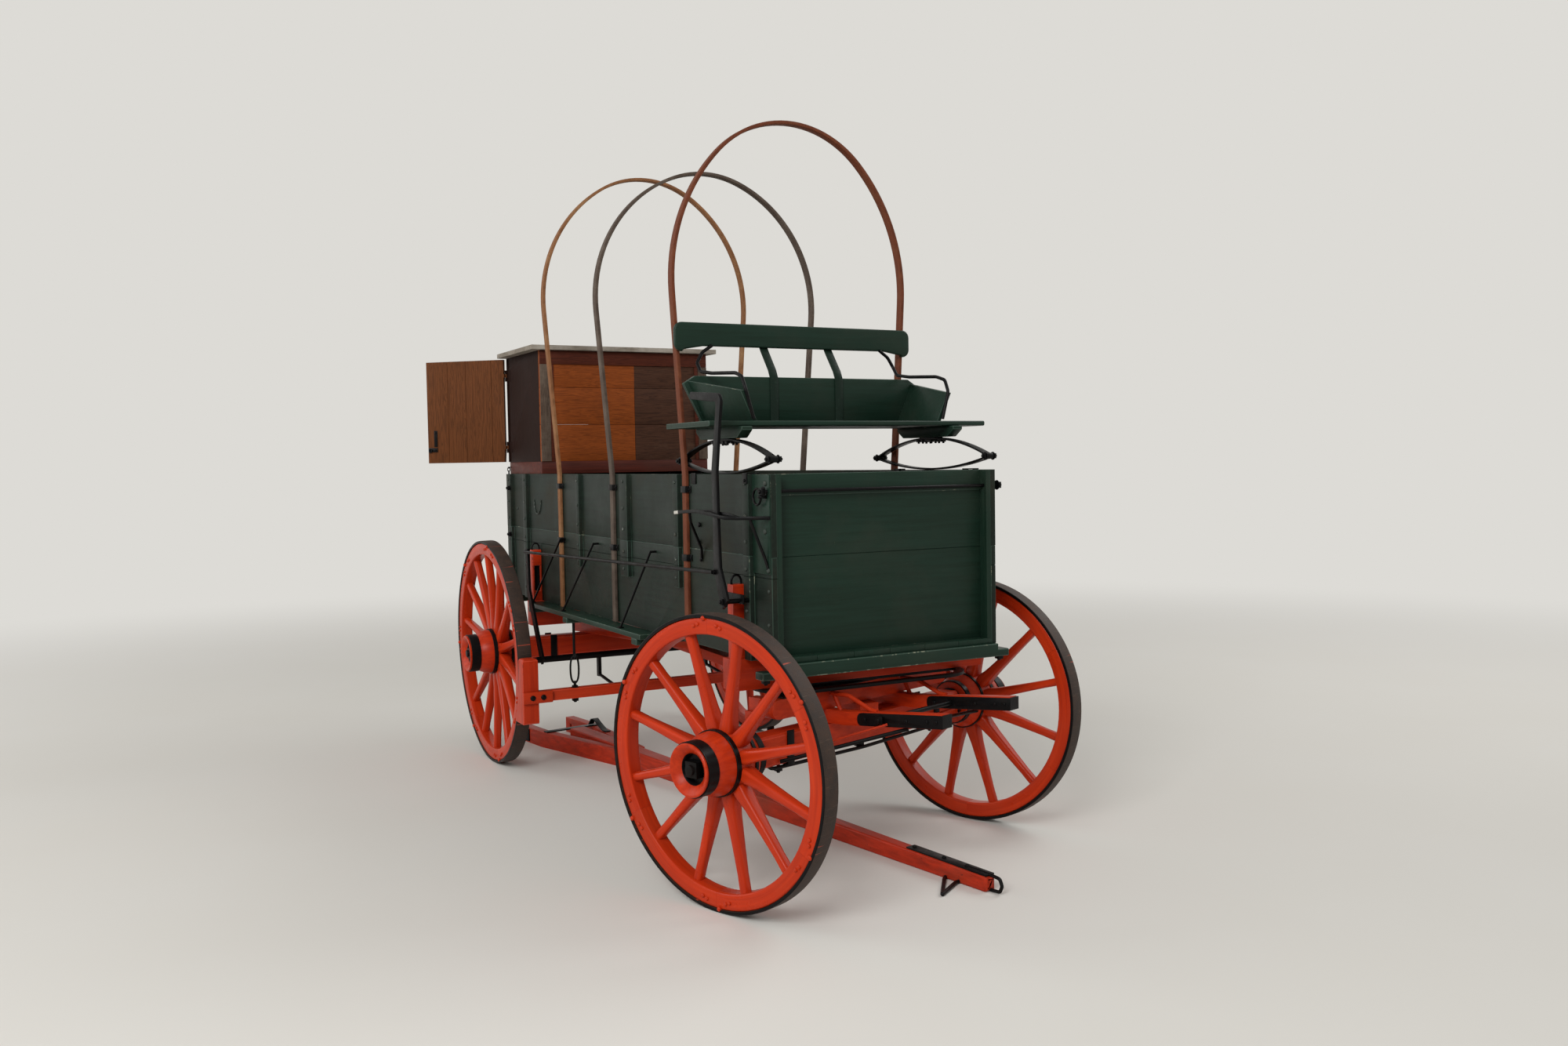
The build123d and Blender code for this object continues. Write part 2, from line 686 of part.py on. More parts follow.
for side, name in ((-1, "right"), (1, "left")):
    with BuildPart() as lower_side:
        block((box_rear, BOX_FRONT), both_sides(inner_half, BOX_HALF, side), (floor_z, seam_z - FIT))
        for x, width, foot in CLEATS:
            block((x - width / 2, x + width / 2), both_sides(BOX_HALF, BOX_HALF + CLEAT_T, side), (foot, seam_z - FIT))
    keep(lower_side.part, f"lower_side_{name}")
    with BuildPart() as upper_side:
        block((box_rear, BOX_FRONT), both_sides(inner_half, BOX_HALF, side), (seam_z, box_top))
        for x, width, foot in CLEATS:
            block((x - width / 2, x + width / 2), both_sides(BOX_HALF, BOX_HALF + CLEAT_T, side), (seam_z, box_top))
        with Locations(Location((front_rod_x, side * BOX_HALF, front_rod_z), (90, 0, 0))):
            Cylinder(FRONT_ROD_R + FIT, 4 * POST_W, mode=Mode.SUBTRACT)
    keep(upper_side.part, f"upper_side_{name}")

with BuildPart() as corner_posts:
    for side in (-1, 1):
        block((BOX_FRONT - POST_W, BOX_FRONT), both_sides(inner_half - CLEAT_T, inner_half, side),
              (floor_z + FLOOR_T, box_top))
    with Locations(Location((front_rod_x, 0, front_rod_z), (90, 0, 0))):
        Cylinder(FRONT_ROD_R + FIT, 3 * BOX_HALF, mode=Mode.SUBTRACT)
keep(corner_posts.part, "corner_posts")

end_half = inner_half - FIT
front_end_x = BOX_FRONT - POST_W
tail_end_x = box_rear + POST_W
with BuildPart() as front_end:
    block((front_end_x - BOARD_T, front_end_x), (-end_half, end_half), (floor_z + FLOOR_T, box_top))
    block((front_end_x, front_end_x + 12), (-inner_half + CLEAT_T, inner_half - CLEAT_T), (box_top - 75, box_top - 57))
keep(front_end.part, "front_end")
with BuildPart() as tail_end:
    block((tail_end_x, tail_end_x + BOARD_T), (-end_half, end_half), (floor_z + FLOOR_T, box_top))
    for y in (-inner_half / 2, inner_half / 2):
        block((tail_end_x - CLEAT_T, tail_end_x), (y - 35, y + 35), (floor_z + FLOOR_T, box_top))
keep(tail_end.part, "tail_end")

irons_y = BOX_HALF + FIT
with BuildPart() as box_irons:
    for side in (-1, 1):
        for x, drop in SIDE_RODS:
            top = (x, side * (BOX_HALF + ROD_TOP_OUT), ROD_TOP_Z)
            foot = (x - drop, side * (BOX_HALF + ROD_FOOT_OUT), floor_z + ROD_R + FIT)
            bent_rod(((x, side * irons_y, ROD_TOP_Z), top, foot), ROD_R)
            block((x - drop - 20, x - drop + 10), (foot[1] - 11, foot[1] + 11), (floor_z, floor_z + ROD_R))
    round_bar((front_rod_x, -BOX_HALF - 24, front_rod_z), (front_rod_x, BOX_HALF + 24, front_rod_z), FRONT_ROD_R)
keep(box_irons.part, "box_irons")


# Hoops
def hoop_half(hoop, shift):
    """foot, knee, both ends and middle of the side arc, and crown of half a hoop moved outwards by shift"""
    x, foot_z, spring_z, bulge, lift = hoop
    half = BOX_HALF + bulge
    rise = half + lift
    crown_r = BOX_HALF - CROWN_IN
    side_r = (half**2 + (rise - crown_r) ** 2 - crown_r**2) / (2 * (half - crown_r))
    knee = (irons_y + BOW_T / 2 + shift, box_top)
    middle = Vector(half - side_r, spring_z)
    radius = side_r + shift
    reach_out = Vector(*knee) - middle
    start_angle = degrees(atan2(reach_out.Y, reach_out.X)) + degrees(acos(radius / reach_out.length))
    end_angle = degrees(atan2(rise - crown_r, side_r - half))
    arc = []
    for angle in (start_angle, (start_angle + end_angle) / 2, end_angle):
        arc.append((middle.X + radius * cos(radians(angle)), middle.Y + radius * sin(radians(angle))))
    return [(knee[0], foot_z), knee, *arc, (0, spring_z + rise + shift)]


def mirrored(points):
    """the same points on the other side, in the opposite order"""
    return [(-y, z) for y, z in reversed(points)]


for name, hoop in HOOPS.items():
    outer = hoop_half(hoop, BOW_T / 2)
    inner = hoop_half(hoop, -BOW_T / 2)
    with BuildPart() as bow:
        with BuildSketch(Plane.YZ.offset(hoop[0] - BOW_W / 2)) as outline:
            with BuildLine():
                for foot, knee, low, side_middle, high, crown in (outer, inner):
                    Polyline(foot, knee, low)
                    ThreePointArc(low, side_middle, high)
                    ThreePointArc(high, crown, (-high[0], high[1]))
                    ThreePointArc((-high[0], high[1]), (-side_middle[0], side_middle[1]), (-low[0], low[1]))
                    Polyline(*mirrored([foot, knee, low]))
                for one, other in ((outer[0], inner[0]), mirrored((outer[0], inner[0]))):
                    Line(one, other)
            make_face()
        extrude(outline.sketch, amount=BOW_W)
    keep(bow.part, f"bow_{name}")


# Seat
def leaf(x, end_z, crown_z, thick, y):
    """a curved spring leaf between two places along the wagon"""
    middle = (x[0] + x[1]) / 2
    with BuildSketch(Plane.XZ.offset(-y - LEAF_W / 2)) as outline:
        with BuildLine():
            ThreePointArc((x[0], end_z), (middle, crown_z), (x[1], end_z))
            Line((x[1], end_z), (x[1], end_z + thick))
            ThreePointArc((x[1], end_z + thick), (middle, crown_z + thick), (x[0], end_z + thick))
            Line((x[0], end_z + thick), (x[0], end_z))
        make_face()
    extrude(outline.sketch, amount=LEAF_W)


spring_middle = (SPRING_X[0] + SPRING_X[1]) / 2
spring_foot_z = box_top + FIT
with BuildPart() as seat_springs:
    for y in (-seat_y, seat_y):
        leaf(SPRING_X, SPRING_EYE_Z - LEAF_T, spring_foot_z, LEAF_T, y)
        leaf(SPRING_X, SPRING_EYE_Z, SPRING_CROWN_Z - LEAF_T, LEAF_T, y)
        for x in SPRING_X:
            with Locations(Location((x, y, SPRING_EYE_Z), (90, 0, 0))):
                Cylinder(EYE_R, LEAF_W + 6)
        block((spring_middle - 60, spring_middle + 60), (y - LEAF_W / 2, y + LEAF_W / 2),
              (SPRING_CROWN_Z - 2 * LEAF_T, SPRING_CROWN_Z))
keep(seat_springs.part, "seat_springs")

riser_top = SPRING_CROWN_Z + RISER_H
seat_top = riser_top + SEAT_T
with BuildPart() as seat_risers:
    for side in (-1, 1):
        side_profile(
            (
                (RISER_X[0] + RISER_TAPER, SPRING_CROWN_Z),
                (RISER_X[1] - RISER_TAPER, SPRING_CROWN_Z),
                (RISER_X[1], riser_top - 14),
                (RISER_X[1], riser_top),
                (RISER_X[0], riser_top),
                (RISER_X[0], riser_top - 14),
            ),
            (side * seat_y - RISER_W / 2, side * seat_y + RISER_W / 2),
        )
keep(seat_risers.part, "seat_risers")

with BuildPart() as seat_board:
    block(SEAT_X, (-seat_half, seat_half), (riser_top, seat_top))
    fillet(seat_board.edges().filter_by(Axis.Y).sort_by(Axis.X)[-2:], 7)
keep(seat_board.part, "seat_board")

seat_back_top = seat_top + SEAT_BACK_H
back_x = SEAT_X[0] + SEAT_PANEL_T
with BuildPart() as seat_panels:
    end_profile(
        (
            (-seat_back_half[0], seat_top),
            (seat_back_half[0], seat_top),
            (seat_back_half[1], seat_back_top - 30),
            (seat_back_half[1] - 50, seat_back_top),
            (50 - seat_back_half[1], seat_back_top),
            (-seat_back_half[1], seat_back_top - 30),
        ),
        (SEAT_X[0], back_x),
    )
    for side in (-1, 1):
        low, high = (side * y for y in seat_end_y)
        end_top = seat_top + SEAT_BACK_H - 20
        front_top = seat_top + SEAT_END_FRONT_H
        lean = (high - low) / (end_top - seat_top)
        front_y = low + lean * (front_top - seat_top)
        thick = side * SEAT_PANEL_T
        with BuildSketch(Plane.YZ.offset(back_x + FIT)) as near:
            with BuildLine():
                Polyline((low, seat_top), (high, end_top), (high - thick, end_top), (low - thick, seat_top), close=True)
            make_face()
        with BuildSketch(Plane.YZ.offset(SEAT_END_X)) as far:
            with BuildLine():
                Polyline((low, seat_top), (front_y, front_top), (front_y - thick, front_top), (low - thick, seat_top),
                         close=True)
            make_face()
        loft([near.sketch, far.sketch], ruled=True)
keep(seat_panels.part, "seat_panels")

with BuildPart() as backrest:
    low, high = BACKREST_Z
    half = seat_end_y[1]
    with BuildSketch(Plane.YZ.offset(BACKREST_X)) as outline:
        with BuildLine():
            Polyline((-half + 130, low), (half - 130, low), (half - 40, low - BACKREST_DROOP),
                     (half, low - BACKREST_DROOP + 6), (half, high - 36), (half - 40, high), (40 - half, high),
                     (-half, high - 36), (-half, low - BACKREST_DROOP + 6), (40 - half, low - BACKREST_DROOP),
                     close=True)
        make_face()
        fillet(outline.vertices(), 18)
    extrude(outline.sketch, amount=22)
keep(backrest.part, "backrest")

arm_top = seat_top + SEAT_END_FRONT_H
arm_y = seat_end_y[1]
front_edge_y = seat_end_y[0] + (seat_end_y[1] - seat_end_y[0]) * SEAT_END_FRONT_H / (SEAT_BACK_H - 20)
strap_path = (
    (back_x + FIT, seat_top + 12),
    (back_x + FIT, seat_back_top + 4),
    (BACKREST_X + 22 + FIT, BACKREST_Z[0] + 5),
    (BACKREST_X + 22 + FIT, BACKREST_Z[1] - 12),
)
with BuildPart() as seat_irons:
    for y in (-STRAP_Y, STRAP_Y):
        side_profile((*strap_path, *((x + STRAP_T, z) for x, z in reversed(strap_path))),
                     (y - STRAP_W / 2, y + STRAP_W / 2))
    for side in (-1, 1):
        x = BACKREST_X + 22 + ARM_R + FIT
        bent_rod(
            (
                (x, side * (arm_y - 145), BACKREST_Z[0] + 6),
                (x, side * (arm_y - 90), BACKREST_Z[0] - 12),
                (x - 6, side * (arm_y - 55), BACKREST_Z[0] - 55),
                (x + 50, side * (arm_y - 5), BACKREST_Z[0] - 108),
                (x + 130, side * arm_y, arm_top + 72),
                (SEAT_END_X - 60, side * arm_y, arm_top + 66),
                (SEAT_END_X - 24, side * (arm_y - 5), arm_top + 40),
                (SEAT_END_X - 18, side * (front_edge_y + ARM_R + 1), arm_top - 6),
                (SEAT_END_X - 18, side * (seat_end_y[0] + ARM_R + 7), seat_top + ARM_R),
            ),
            ARM_R,
        )
keep(seat_irons.part, "seat_irons")


# Side brake: lever, ratchet, rod, cross shaft, beam and blocks
with BuildPart() as brake_lever:
    with BuildSketch(Plane.XZ.offset(-lever_y - LEVER_T / 2)) as outline:
        with BuildLine():
            Polyline(*LEVER_OUTLINE, close=True)
        make_face()
    extrude(outline.sketch, amount=LEVER_T)
    with Locations(Location((LEVER_PIVOT[0], lever_y, LEVER_PIVOT[1]), (90, 0, 0))):
        Cylinder(20, LEVER_T)
keep(brake_lever.part, "brake_lever")

ratchet_in = lever_y + LEVER_T / 2 + 4
ratchet_out = lever_y - LEVER_T / 2 - 4
with BuildPart() as brake_ratchet:
    plan_profile(
        (
            (BOX_FRONT, -BOX_HALF), (180, -BOX_HALF), (150, ratchet_in + 6), (-330, ratchet_in + 6),
            (-330, ratchet_in), (154, ratchet_in), (192, -BOX_HALF - 7), (BOX_FRONT, -BOX_HALF - 7),
        ),
        RATCHET_Z,
    )
    block((-330, 150), (ratchet_out - 6, ratchet_out), RATCHET_Z)
    for x in (-322, 142):
        block((x - 8, x + 8), (ratchet_out, ratchet_in), RATCHET_Z)
    for x, foot_z in ((130, 1130), (-262, 1160)):
        bent_rod(((x, ratchet_in + 6, RATCHET_Z[0] + 4), (x + 6, -BOX_HALF - 8, foot_z)), 6)
        block((x - 6, x + 18), (-BOX_HALF - 14, -BOX_HALF), (foot_z - 14, foot_z + 14))
    pivot_x, pivot_z = LEVER_PIVOT
    block((pivot_x - 26, pivot_x + 26), (lever_y + LEVER_T / 2 + FIT, lever_y + LEVER_T / 2 + 8),
          (pivot_z - 25, pivot_z + 25))
    block((pivot_x - 20, pivot_x + 20), (lever_y + LEVER_T / 2 + 8, -BOX_HALF - CLEAT_T), (pivot_z - 20, pivot_z + 20))
keep(brake_ratchet.part, "brake_ratchet")

rod_y = lever_y - LEVER_T / 2 - BRAKE_PIN_R
with BuildPart() as brake_rod:
    (front_x, front_z), (arm_x, back_z) = BRAKE_ROD_ENDS
    bent_rod(((front_x, rod_y, front_z), (arm_x, rod_y, back_z)), BRAKE_ROD_R)
    round_bar((front_x, rod_y, front_z), (front_x, lever_y - LEVER_T / 2, front_z), BRAKE_PIN_R)
    bent_rod(((arm_x, rod_y, back_z), (arm_x, lever_y, back_z)), BRAKE_PIN_R)
keep(brake_rod.part, "brake_rod")

shaft_y = lever_y + 22
with BuildPart() as brake_shaft:
    round_bar((SHAFT_X, -shaft_half, SHAFT_Z), (SHAFT_X, shaft_half, SHAFT_Z), 16)
    with BuildSketch(Plane.XZ.offset(-lever_y - 6)) as arm:
        with BuildLine():
            Polyline(*SHAFT_ARM_OUTLINE, close=True)
        make_face()
        with Locations(BRAKE_ROD_ENDS[1]):
            Circle(BRAKE_PIN_R + FIT, mode=Mode.SUBTRACT)
    extrude(arm.sketch, amount=12)
    for y in (-300, 300):
        block((SHAFT_X - 14, SHAFT_X + 14), (y - 8, y + 8), (SHAFT_Z - 110, SHAFT_Z))
        bent_rod(((SHAFT_X, y, SHAFT_Z - 100), (BEAM_X[0] - 8 - FIT, y, (BEAM_Z[0] + BEAM_Z[1]) / 2)), 8)
    for side in (-1, 1):
        y = side * (BOX_HALF + 55)
        block((BEAM_X[0] + 10, BEAM_X[1] - 10), (y - 5, y + 5), (BEAM_Z[1], sill_bottom))
keep(brake_shaft.part, "brake_shaft")

with BuildPart() as brake_beam:
    block(BEAM_X, (-block_y[0] + FIT, block_y[0] - FIT), BEAM_Z)
keep(brake_beam.part, "brake_beam")

with BuildPart() as brake_blocks:
    for side in (-1, 1):
        block((rear_x + rear_wheel_r - 60, BEAM_X[1]), both_sides(*block_y, side), BLOCK_Z)
        with Locations(Location((rear_x, side * sum(block_y) / 2, rear_hub_z), (90, 0, 0))):
            Cylinder(rear_wheel_r + BLOCK_CLEAR, 3 * BLOCK_W, mode=Mode.SUBTRACT)
keep(brake_blocks.part, "brake_blocks")


# Cupboard over the tail, with a shelf, compartments and a pair of doors
rail = CHUCK_RAIL_W
with BuildPart() as chuck_base:
    for side in (-1, 1):
        block(CHUCK_X, both_sides(chuck_half - rail, chuck_half, side), (box_top, CHUCK_Z[0]))
    for x in (CHUCK_X[0], CHUCK_X[1] - rail):
        block((x, x + rail), (rail - chuck_half, chuck_half - rail), (box_top, CHUCK_Z[0]))
keep(chuck_base.part, "chuck_base")

wall = CHUCK_WALL
pin_x = CHUCK_X[0] - DOOR_GAP / 2
pin_out = chuck_half + DOOR_PIN_OUT
leaf_t = DOOR_PIN_OUT - KNUCKLE_R + 1
chuck_depth = (CHUCK_X[0], CHUCK_X[1] - wall)
with BuildPart() as chuck_carcass:
    for low, high in ((CHUCK_Z[0], CHUCK_Z[0] + wall), (SHELF_Z, SHELF_Z + wall), (CHUCK_Z[1] - wall, CHUCK_Z[1])):
        block(chuck_depth, (-chuck_half, chuck_half), (low, high))
    for side in (-1, 1):
        block(chuck_depth, both_sides(chuck_half - wall, chuck_half, side), CHUCK_Z)
        for z in HINGE_Z:
            block((CHUCK_X[0] + KNUCKLE_R, CHUCK_X[0] + 45), both_sides(chuck_half, chuck_half + leaf_t, side),
                  (z - 1.5 * KNUCKLE_H, z + 1.5 * KNUCKLE_H))
            with Locations((pin_x, side * pin_out, z)):
                Cylinder(DOOR_PIN_R, 3 * KNUCKLE_H)
            for end in (-1, 1):
                middle = z + end * (KNUCKLE_H + 1)
                block((pin_x, CHUCK_X[0] + KNUCKLE_R + 1), both_sides(chuck_half, chuck_half + leaf_t, side),
                      (middle - KNUCKLE_H / 2, middle + KNUCKLE_H / 2))
                with Locations((pin_x, side * pin_out, middle)):
                    Cylinder(KNUCKLE_R, KNUCKLE_H)
    for y in PIGEON_Y:
        block(chuck_depth, (y - wall / 2, y + wall / 2), (SHELF_Z + wall, CHUCK_Z[1] - wall))
    block(chuck_depth, (-wall / 2, wall / 2), (CHUCK_Z[0] + wall, SHELF_Z))
keep(chuck_carcass.part, "chuck_carcass")

with BuildPart() as chuck_front:
    board_h = (CHUCK_Z[1] - CHUCK_Z[0]) / 3
    for i in range(3):
        low = CHUCK_Z[0] + i * board_h
        block((CHUCK_X[1] - wall, CHUCK_X[1]), (-chuck_half, chuck_half), (low, low + board_h - BOARD_GAP))
keep(chuck_front.part, "chuck_front")

with BuildPart() as chuck_lid:
    block(CHUCK_LID_X, (-chuck_half - CHUCK_LID_OUT, chuck_half + CHUCK_LID_OUT), (CHUCK_Z[1], CHUCK_Z[1] + CHUCK_LID_T))
keep(chuck_lid.part, "chuck_lid")

door_x = (CHUCK_X[0] - DOOR_GAP - DOOR_T, CHUCK_X[0] - DOOR_GAP)
for side, name, turn in ((-1, "right", DOOR_OPEN), (1, "left", 0)):
    with BuildPart() as shut_door:
        block(door_x, both_sides(DOOR_GAP / 2, chuck_half - 2, side), (CHUCK_Z[0] + 2, CHUCK_Z[1] - 8))
        for z in HINGE_Z:
            block((door_x[0], pin_x - DOOR_PIN_R - 1), both_sides(chuck_half - 2, pin_out - 2, side),
                  (z - KNUCKLE_H / 2, z + KNUCKLE_H / 2))
            with Locations((pin_x, side * pin_out, z)):
                Cylinder(KNUCKLE_R, KNUCKLE_H)
                Cylinder(DOOR_PIN_R + DOOR_PIN_FIT, KNUCKLE_H, mode=Mode.SUBTRACT)
    pin = Location((pin_x, side * pin_out, 0))
    with BuildPart() as hung_door:
        with Locations(pin * Location((0, 0, 0), (0, 0, turn)) * pin.inverse()):
            add(shut_door.part)
    keep(hung_door.part, f"chuck_door_{name}")


# Tongue, built along X from its pin end and laid on the floor
tongue_run = Vector(*TONGUE_TIP) - Vector(*TONGUE_REAR)
tongue_length = tongue_run.length
tongue_place = Location((*TONGUE_REAR, 0), (0, 0, degrees(atan2(tongue_run.Y, tongue_run.X))))


def lay_tongue(part, name):
    """put a piece of the tongue in its place on the floor and write it"""
    with BuildPart() as laid:
        with Locations(tongue_place):
            add(part)
    keep(laid.part, name)


def pole_half(x):
    """half the width of the pole at a place along it"""
    share = (x - POLE_START) / (tongue_length - POLE_START)
    return (TONGUE_ROOT[0] + (TONGUE_NOSE[0] - TONGUE_ROOT[0]) * share) / 2


with BuildPart() as tongue_pole:
    for x, (wide, high) in ((POLE_START, TONGUE_ROOT), (tongue_length, TONGUE_NOSE)):
        with BuildSketch(Plane.YZ.offset(x)):
            with Locations((0, high / 2)):
                RectangleRounded(wide, high, 8)
    loft(ruled=True)
lay_tongue(tongue_pole.part, "tongue_pole")

fork_in = FORK_HALF - FORK_T
with BuildPart() as tongue_fork:
    for side in (-1, 1):
        plan_profile(
            [
                (x, side * y)
                for x, y in (
                    (-30, fork_in), (240, fork_in), (760, pole_half(760) + FIT), (FORK_LENGTH, pole_half(760) + FIT),
                    (FORK_LENGTH, pole_half(760) + 26), (250, FORK_HALF), (-30, FORK_HALF),
                )
            ],
            (0, FORK_H),
        )
    with Locations(Location((PIN_SETBACK, 0, FORK_H / 2), (90, 0, 0))):
        Cylinder(TONGUE_PIN_R + 1.5, 3 * FORK_HALF, mode=Mode.SUBTRACT)
lay_tongue(tongue_fork.part, "tongue_fork")

with BuildPart() as tongue_irons:
    for side in (-1, 1):
        block((-30, 110), both_sides(FORK_HALF, FORK_HALF + 5, side), (8, FORK_H - 8))
    with Locations(Location((PIN_SETBACK, 0, FORK_H / 2), (90, 0, 0))):
        Cylinder(TONGUE_PIN_R + 1.5, 3 * FORK_HALF, mode=Mode.SUBTRACT)
    block((270, 310), (-FORK_HALF + 8, FORK_HALF - 8), (FORK_H, FORK_H + 6))
    with BuildSketch(Plane.YZ.offset(tongue_length + FIT)) as cap:
        with Locations((0, TONGUE_NOSE[1] / 2)):
            RectangleRounded(*TONGUE_NOSE, 8)
    extrude(cap.sketch, amount=5)
lay_tongue(tongue_irons.part, "tongue_irons")
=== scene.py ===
import json
from math import atan2, cos, pi, radians, sin
import bpy
from mathutils import Matrix, Vector


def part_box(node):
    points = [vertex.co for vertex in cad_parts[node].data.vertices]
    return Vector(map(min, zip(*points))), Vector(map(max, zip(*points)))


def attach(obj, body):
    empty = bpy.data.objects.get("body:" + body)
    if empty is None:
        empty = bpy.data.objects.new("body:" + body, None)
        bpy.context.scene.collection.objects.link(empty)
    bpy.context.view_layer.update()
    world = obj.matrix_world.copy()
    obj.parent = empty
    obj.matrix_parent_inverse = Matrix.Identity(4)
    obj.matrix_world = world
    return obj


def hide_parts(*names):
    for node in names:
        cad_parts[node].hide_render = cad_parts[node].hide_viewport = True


# Horse-drawn farm wagon with a double box, three bare hoops, a sprung seat and a tail cupboard.
# Lengths are millimetres from the floor under the kingpin, X forward, Y to the wagon's left.
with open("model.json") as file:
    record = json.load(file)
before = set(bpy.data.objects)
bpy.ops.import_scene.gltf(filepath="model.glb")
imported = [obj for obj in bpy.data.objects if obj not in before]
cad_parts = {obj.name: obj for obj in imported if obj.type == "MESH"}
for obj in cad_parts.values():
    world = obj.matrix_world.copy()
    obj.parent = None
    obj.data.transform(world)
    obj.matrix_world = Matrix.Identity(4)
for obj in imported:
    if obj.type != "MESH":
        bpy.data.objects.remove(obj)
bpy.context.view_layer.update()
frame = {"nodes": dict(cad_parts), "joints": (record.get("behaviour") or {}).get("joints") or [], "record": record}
record = frame["record"]
body_of = {part: body for body, parts in record["behaviour"]["bodies"].items() for part in parts}
joint_of = {joint["child"]: joint for joint in frame["joints"]}
KINGPIN_X = joint_of["front_gear"]["pos_m"][0] * 1000

# Sizes that several pieces share
BOX_FACE = 485              # outer face of the side boards, each way from the middle
CLEAT_FACE = 505            # outer face of the cleats on them
REAR_AXLE_X = -2400
STAKE_Y = 512               # middle of the bolsters' stakes
HOOP_X = (-2030, -1290, -480)
RAVE_Z = 1490               # top of the box


def spot(x, y, z):
    """a place in the model's own metres"""
    return Vector(((x + KINGPIN_X) / 1000, y / 1000, z / 1000))


# Camera, solved from the wheels, the box corners and the hoops
bpy.ops.object.camera_add(location=spot(4176, -2554.4, 1532.2),
                          rotation=(radians(87.2725), radians(0.9615), radians(61.7041)))
camera = bpy.context.object
camera.data.sensor_width = 36
camera.data.lens = 29.47
bpy.context.scene.camera = camera


# Finishes
def tint(hex_colour):
    """an sRGB hex colour as the linear colour that shaders take"""
    channels = [int(hex_colour[i:i + 2], 16) / 255 for i in (1, 3, 5)]
    return tuple(c / 12.92 if c <= 0.04045 else ((c + 0.055) / 1.055) ** 2.4 for c in channels) + (1.0,)


def node(tree, kind, inputs=None, out=0, **settings):
    """add a shader node with its settings, values and links, and give one of its outputs"""
    new = tree.nodes.new(kind)
    for key, value in settings.items():
        setattr(new, key, value)
    for key, value in (inputs or {}).items():
        if isinstance(value, bpy.types.NodeSocket):
            tree.links.new(value, new.inputs[key])
        else:
            new.inputs[key].default_value = value
    return new if out is None else new.outputs[out]


GRAIN_STRETCH = 22          # how much longer than wide a streak in the grain is


def new_finish(name, grain=None):
    """an empty material and its coordinates: the object's own, or the piece's grain marks"""
    finish = bpy.data.materials.new(name)
    finish.use_nodes = True
    tree = finish.node_tree
    tree.nodes.clear()
    if grain == "piece":
        coords = node(tree, "ShaderNodeAttribute", out="Vector", attribute_name="grain")
    else:
        coords = node(tree, "ShaderNodeTexCoord", out="Object")
    return finish, tree, coords


def drawn_out(tree, coords, grain):
    """coordinates pressed together across the grain, so that a pattern on them draws out along it"""
    along = "x" if grain == "piece" else grain
    scale = [1 if axis == along else GRAIN_STRETCH for axis in "xyz"]
    return node(tree, "ShaderNodeMapping", {"Vector": coords, "Scale": scale})


def close_finish(tree, colour, roughness, relief, **constants):
    """the surface shader and the output"""
    shader = node(tree, "ShaderNodeBsdfPrincipled",
                  {"Base Color": colour, "Roughness": roughness, "Normal": relief}, out=None)
    for key, value in constants.items():
        shader.inputs[key.replace("_", " ")].default_value = value
    node(tree, "ShaderNodeOutputMaterial", {"Surface": shader.outputs["BSDF"]}, out=None)


def brushed_enamel(name, paint, deep, dust, bare, grain, gloss, chips, dusty=0.5):
    """oil enamel brushed on planed timber: streaks along the board, dull dusty patches, chips to bare wood"""
    finish, tree, coords = new_finish(name, grain)
    along = drawn_out(tree, coords, grain)
    # brush marks lie 2 to 3 mm apart across the board
    streaks = node(tree, "ShaderNodeTexNoise", {"Vector": along, "Scale": 14, "Detail": 5, "Roughness": 0.65})
    # the timber's grain shows through the paint as soft ridges 10 to 20 mm apart
    ridges = node(tree, "ShaderNodeTexNoise",
                  {"Vector": along, "Scale": 2.6, "Detail": 8, "Roughness": 0.6, "Distortion": 0.4})
    # dust lies in clouds some 300 mm wide, and the chips are 2 to 10 mm wide
    patches = node(tree, "ShaderNodeTexNoise", {"Vector": coords, "Scale": 3.1, "Detail": 5, "Roughness": 0.6})
    flecks = node(tree, "ShaderNodeTexNoise", {"Vector": coords, "Scale": 120, "Detail": 4, "Roughness": 0.7})
    deepened = node(tree, "ShaderNodeMapRange", {"Value": ridges, "From Min": 0.3, "From Max": 0.7})
    body = node(tree, "ShaderNodeMix", {0: deepened, 6: tint(deep), 7: tint(paint)}, out=2, data_type="RGBA")
    film = node(tree, "ShaderNodeMapRange",
                {"Value": patches, "From Min": 0.5, "From Max": 0.75, "To Max": dusty})
    body = node(tree, "ShaderNodeMix", {0: film, 6: body, 7: tint(dust)}, out=2, data_type="RGBA")
    spread = node(tree, "ShaderNodeMath", {0: patches, 1: 0.22}, operation="MULTIPLY")
    spread = node(tree, "ShaderNodeMath", {0: flecks, 1: spread}, operation="ADD")
    chipped = node(tree, "ShaderNodeMapRange", {"Value": spread, "From Min": chips, "From Max": chips + 0.015})
    colour = node(tree, "ShaderNodeMix", {0: chipped, 6: body, 7: tint(bare)}, out=2, data_type="RGBA")
    rough = node(tree, "ShaderNodeMapRange", {"Value": patches, "From Min": 0.35, "From Max": 0.75,
                                              "To Min": gloss, "To Max": gloss + 0.22})
    relief = node(tree, "ShaderNodeBump", {"Height": streaks, "Strength": 0.3, "Distance": 0.0008})
    relief = node(tree, "ShaderNodeBump",
                  {"Height": ridges, "Strength": 0.3, "Distance": 0.002, "Normal": relief})
    close_finish(tree, colour, rough, relief, Specular_IOR_Level=0.16)
    return finish


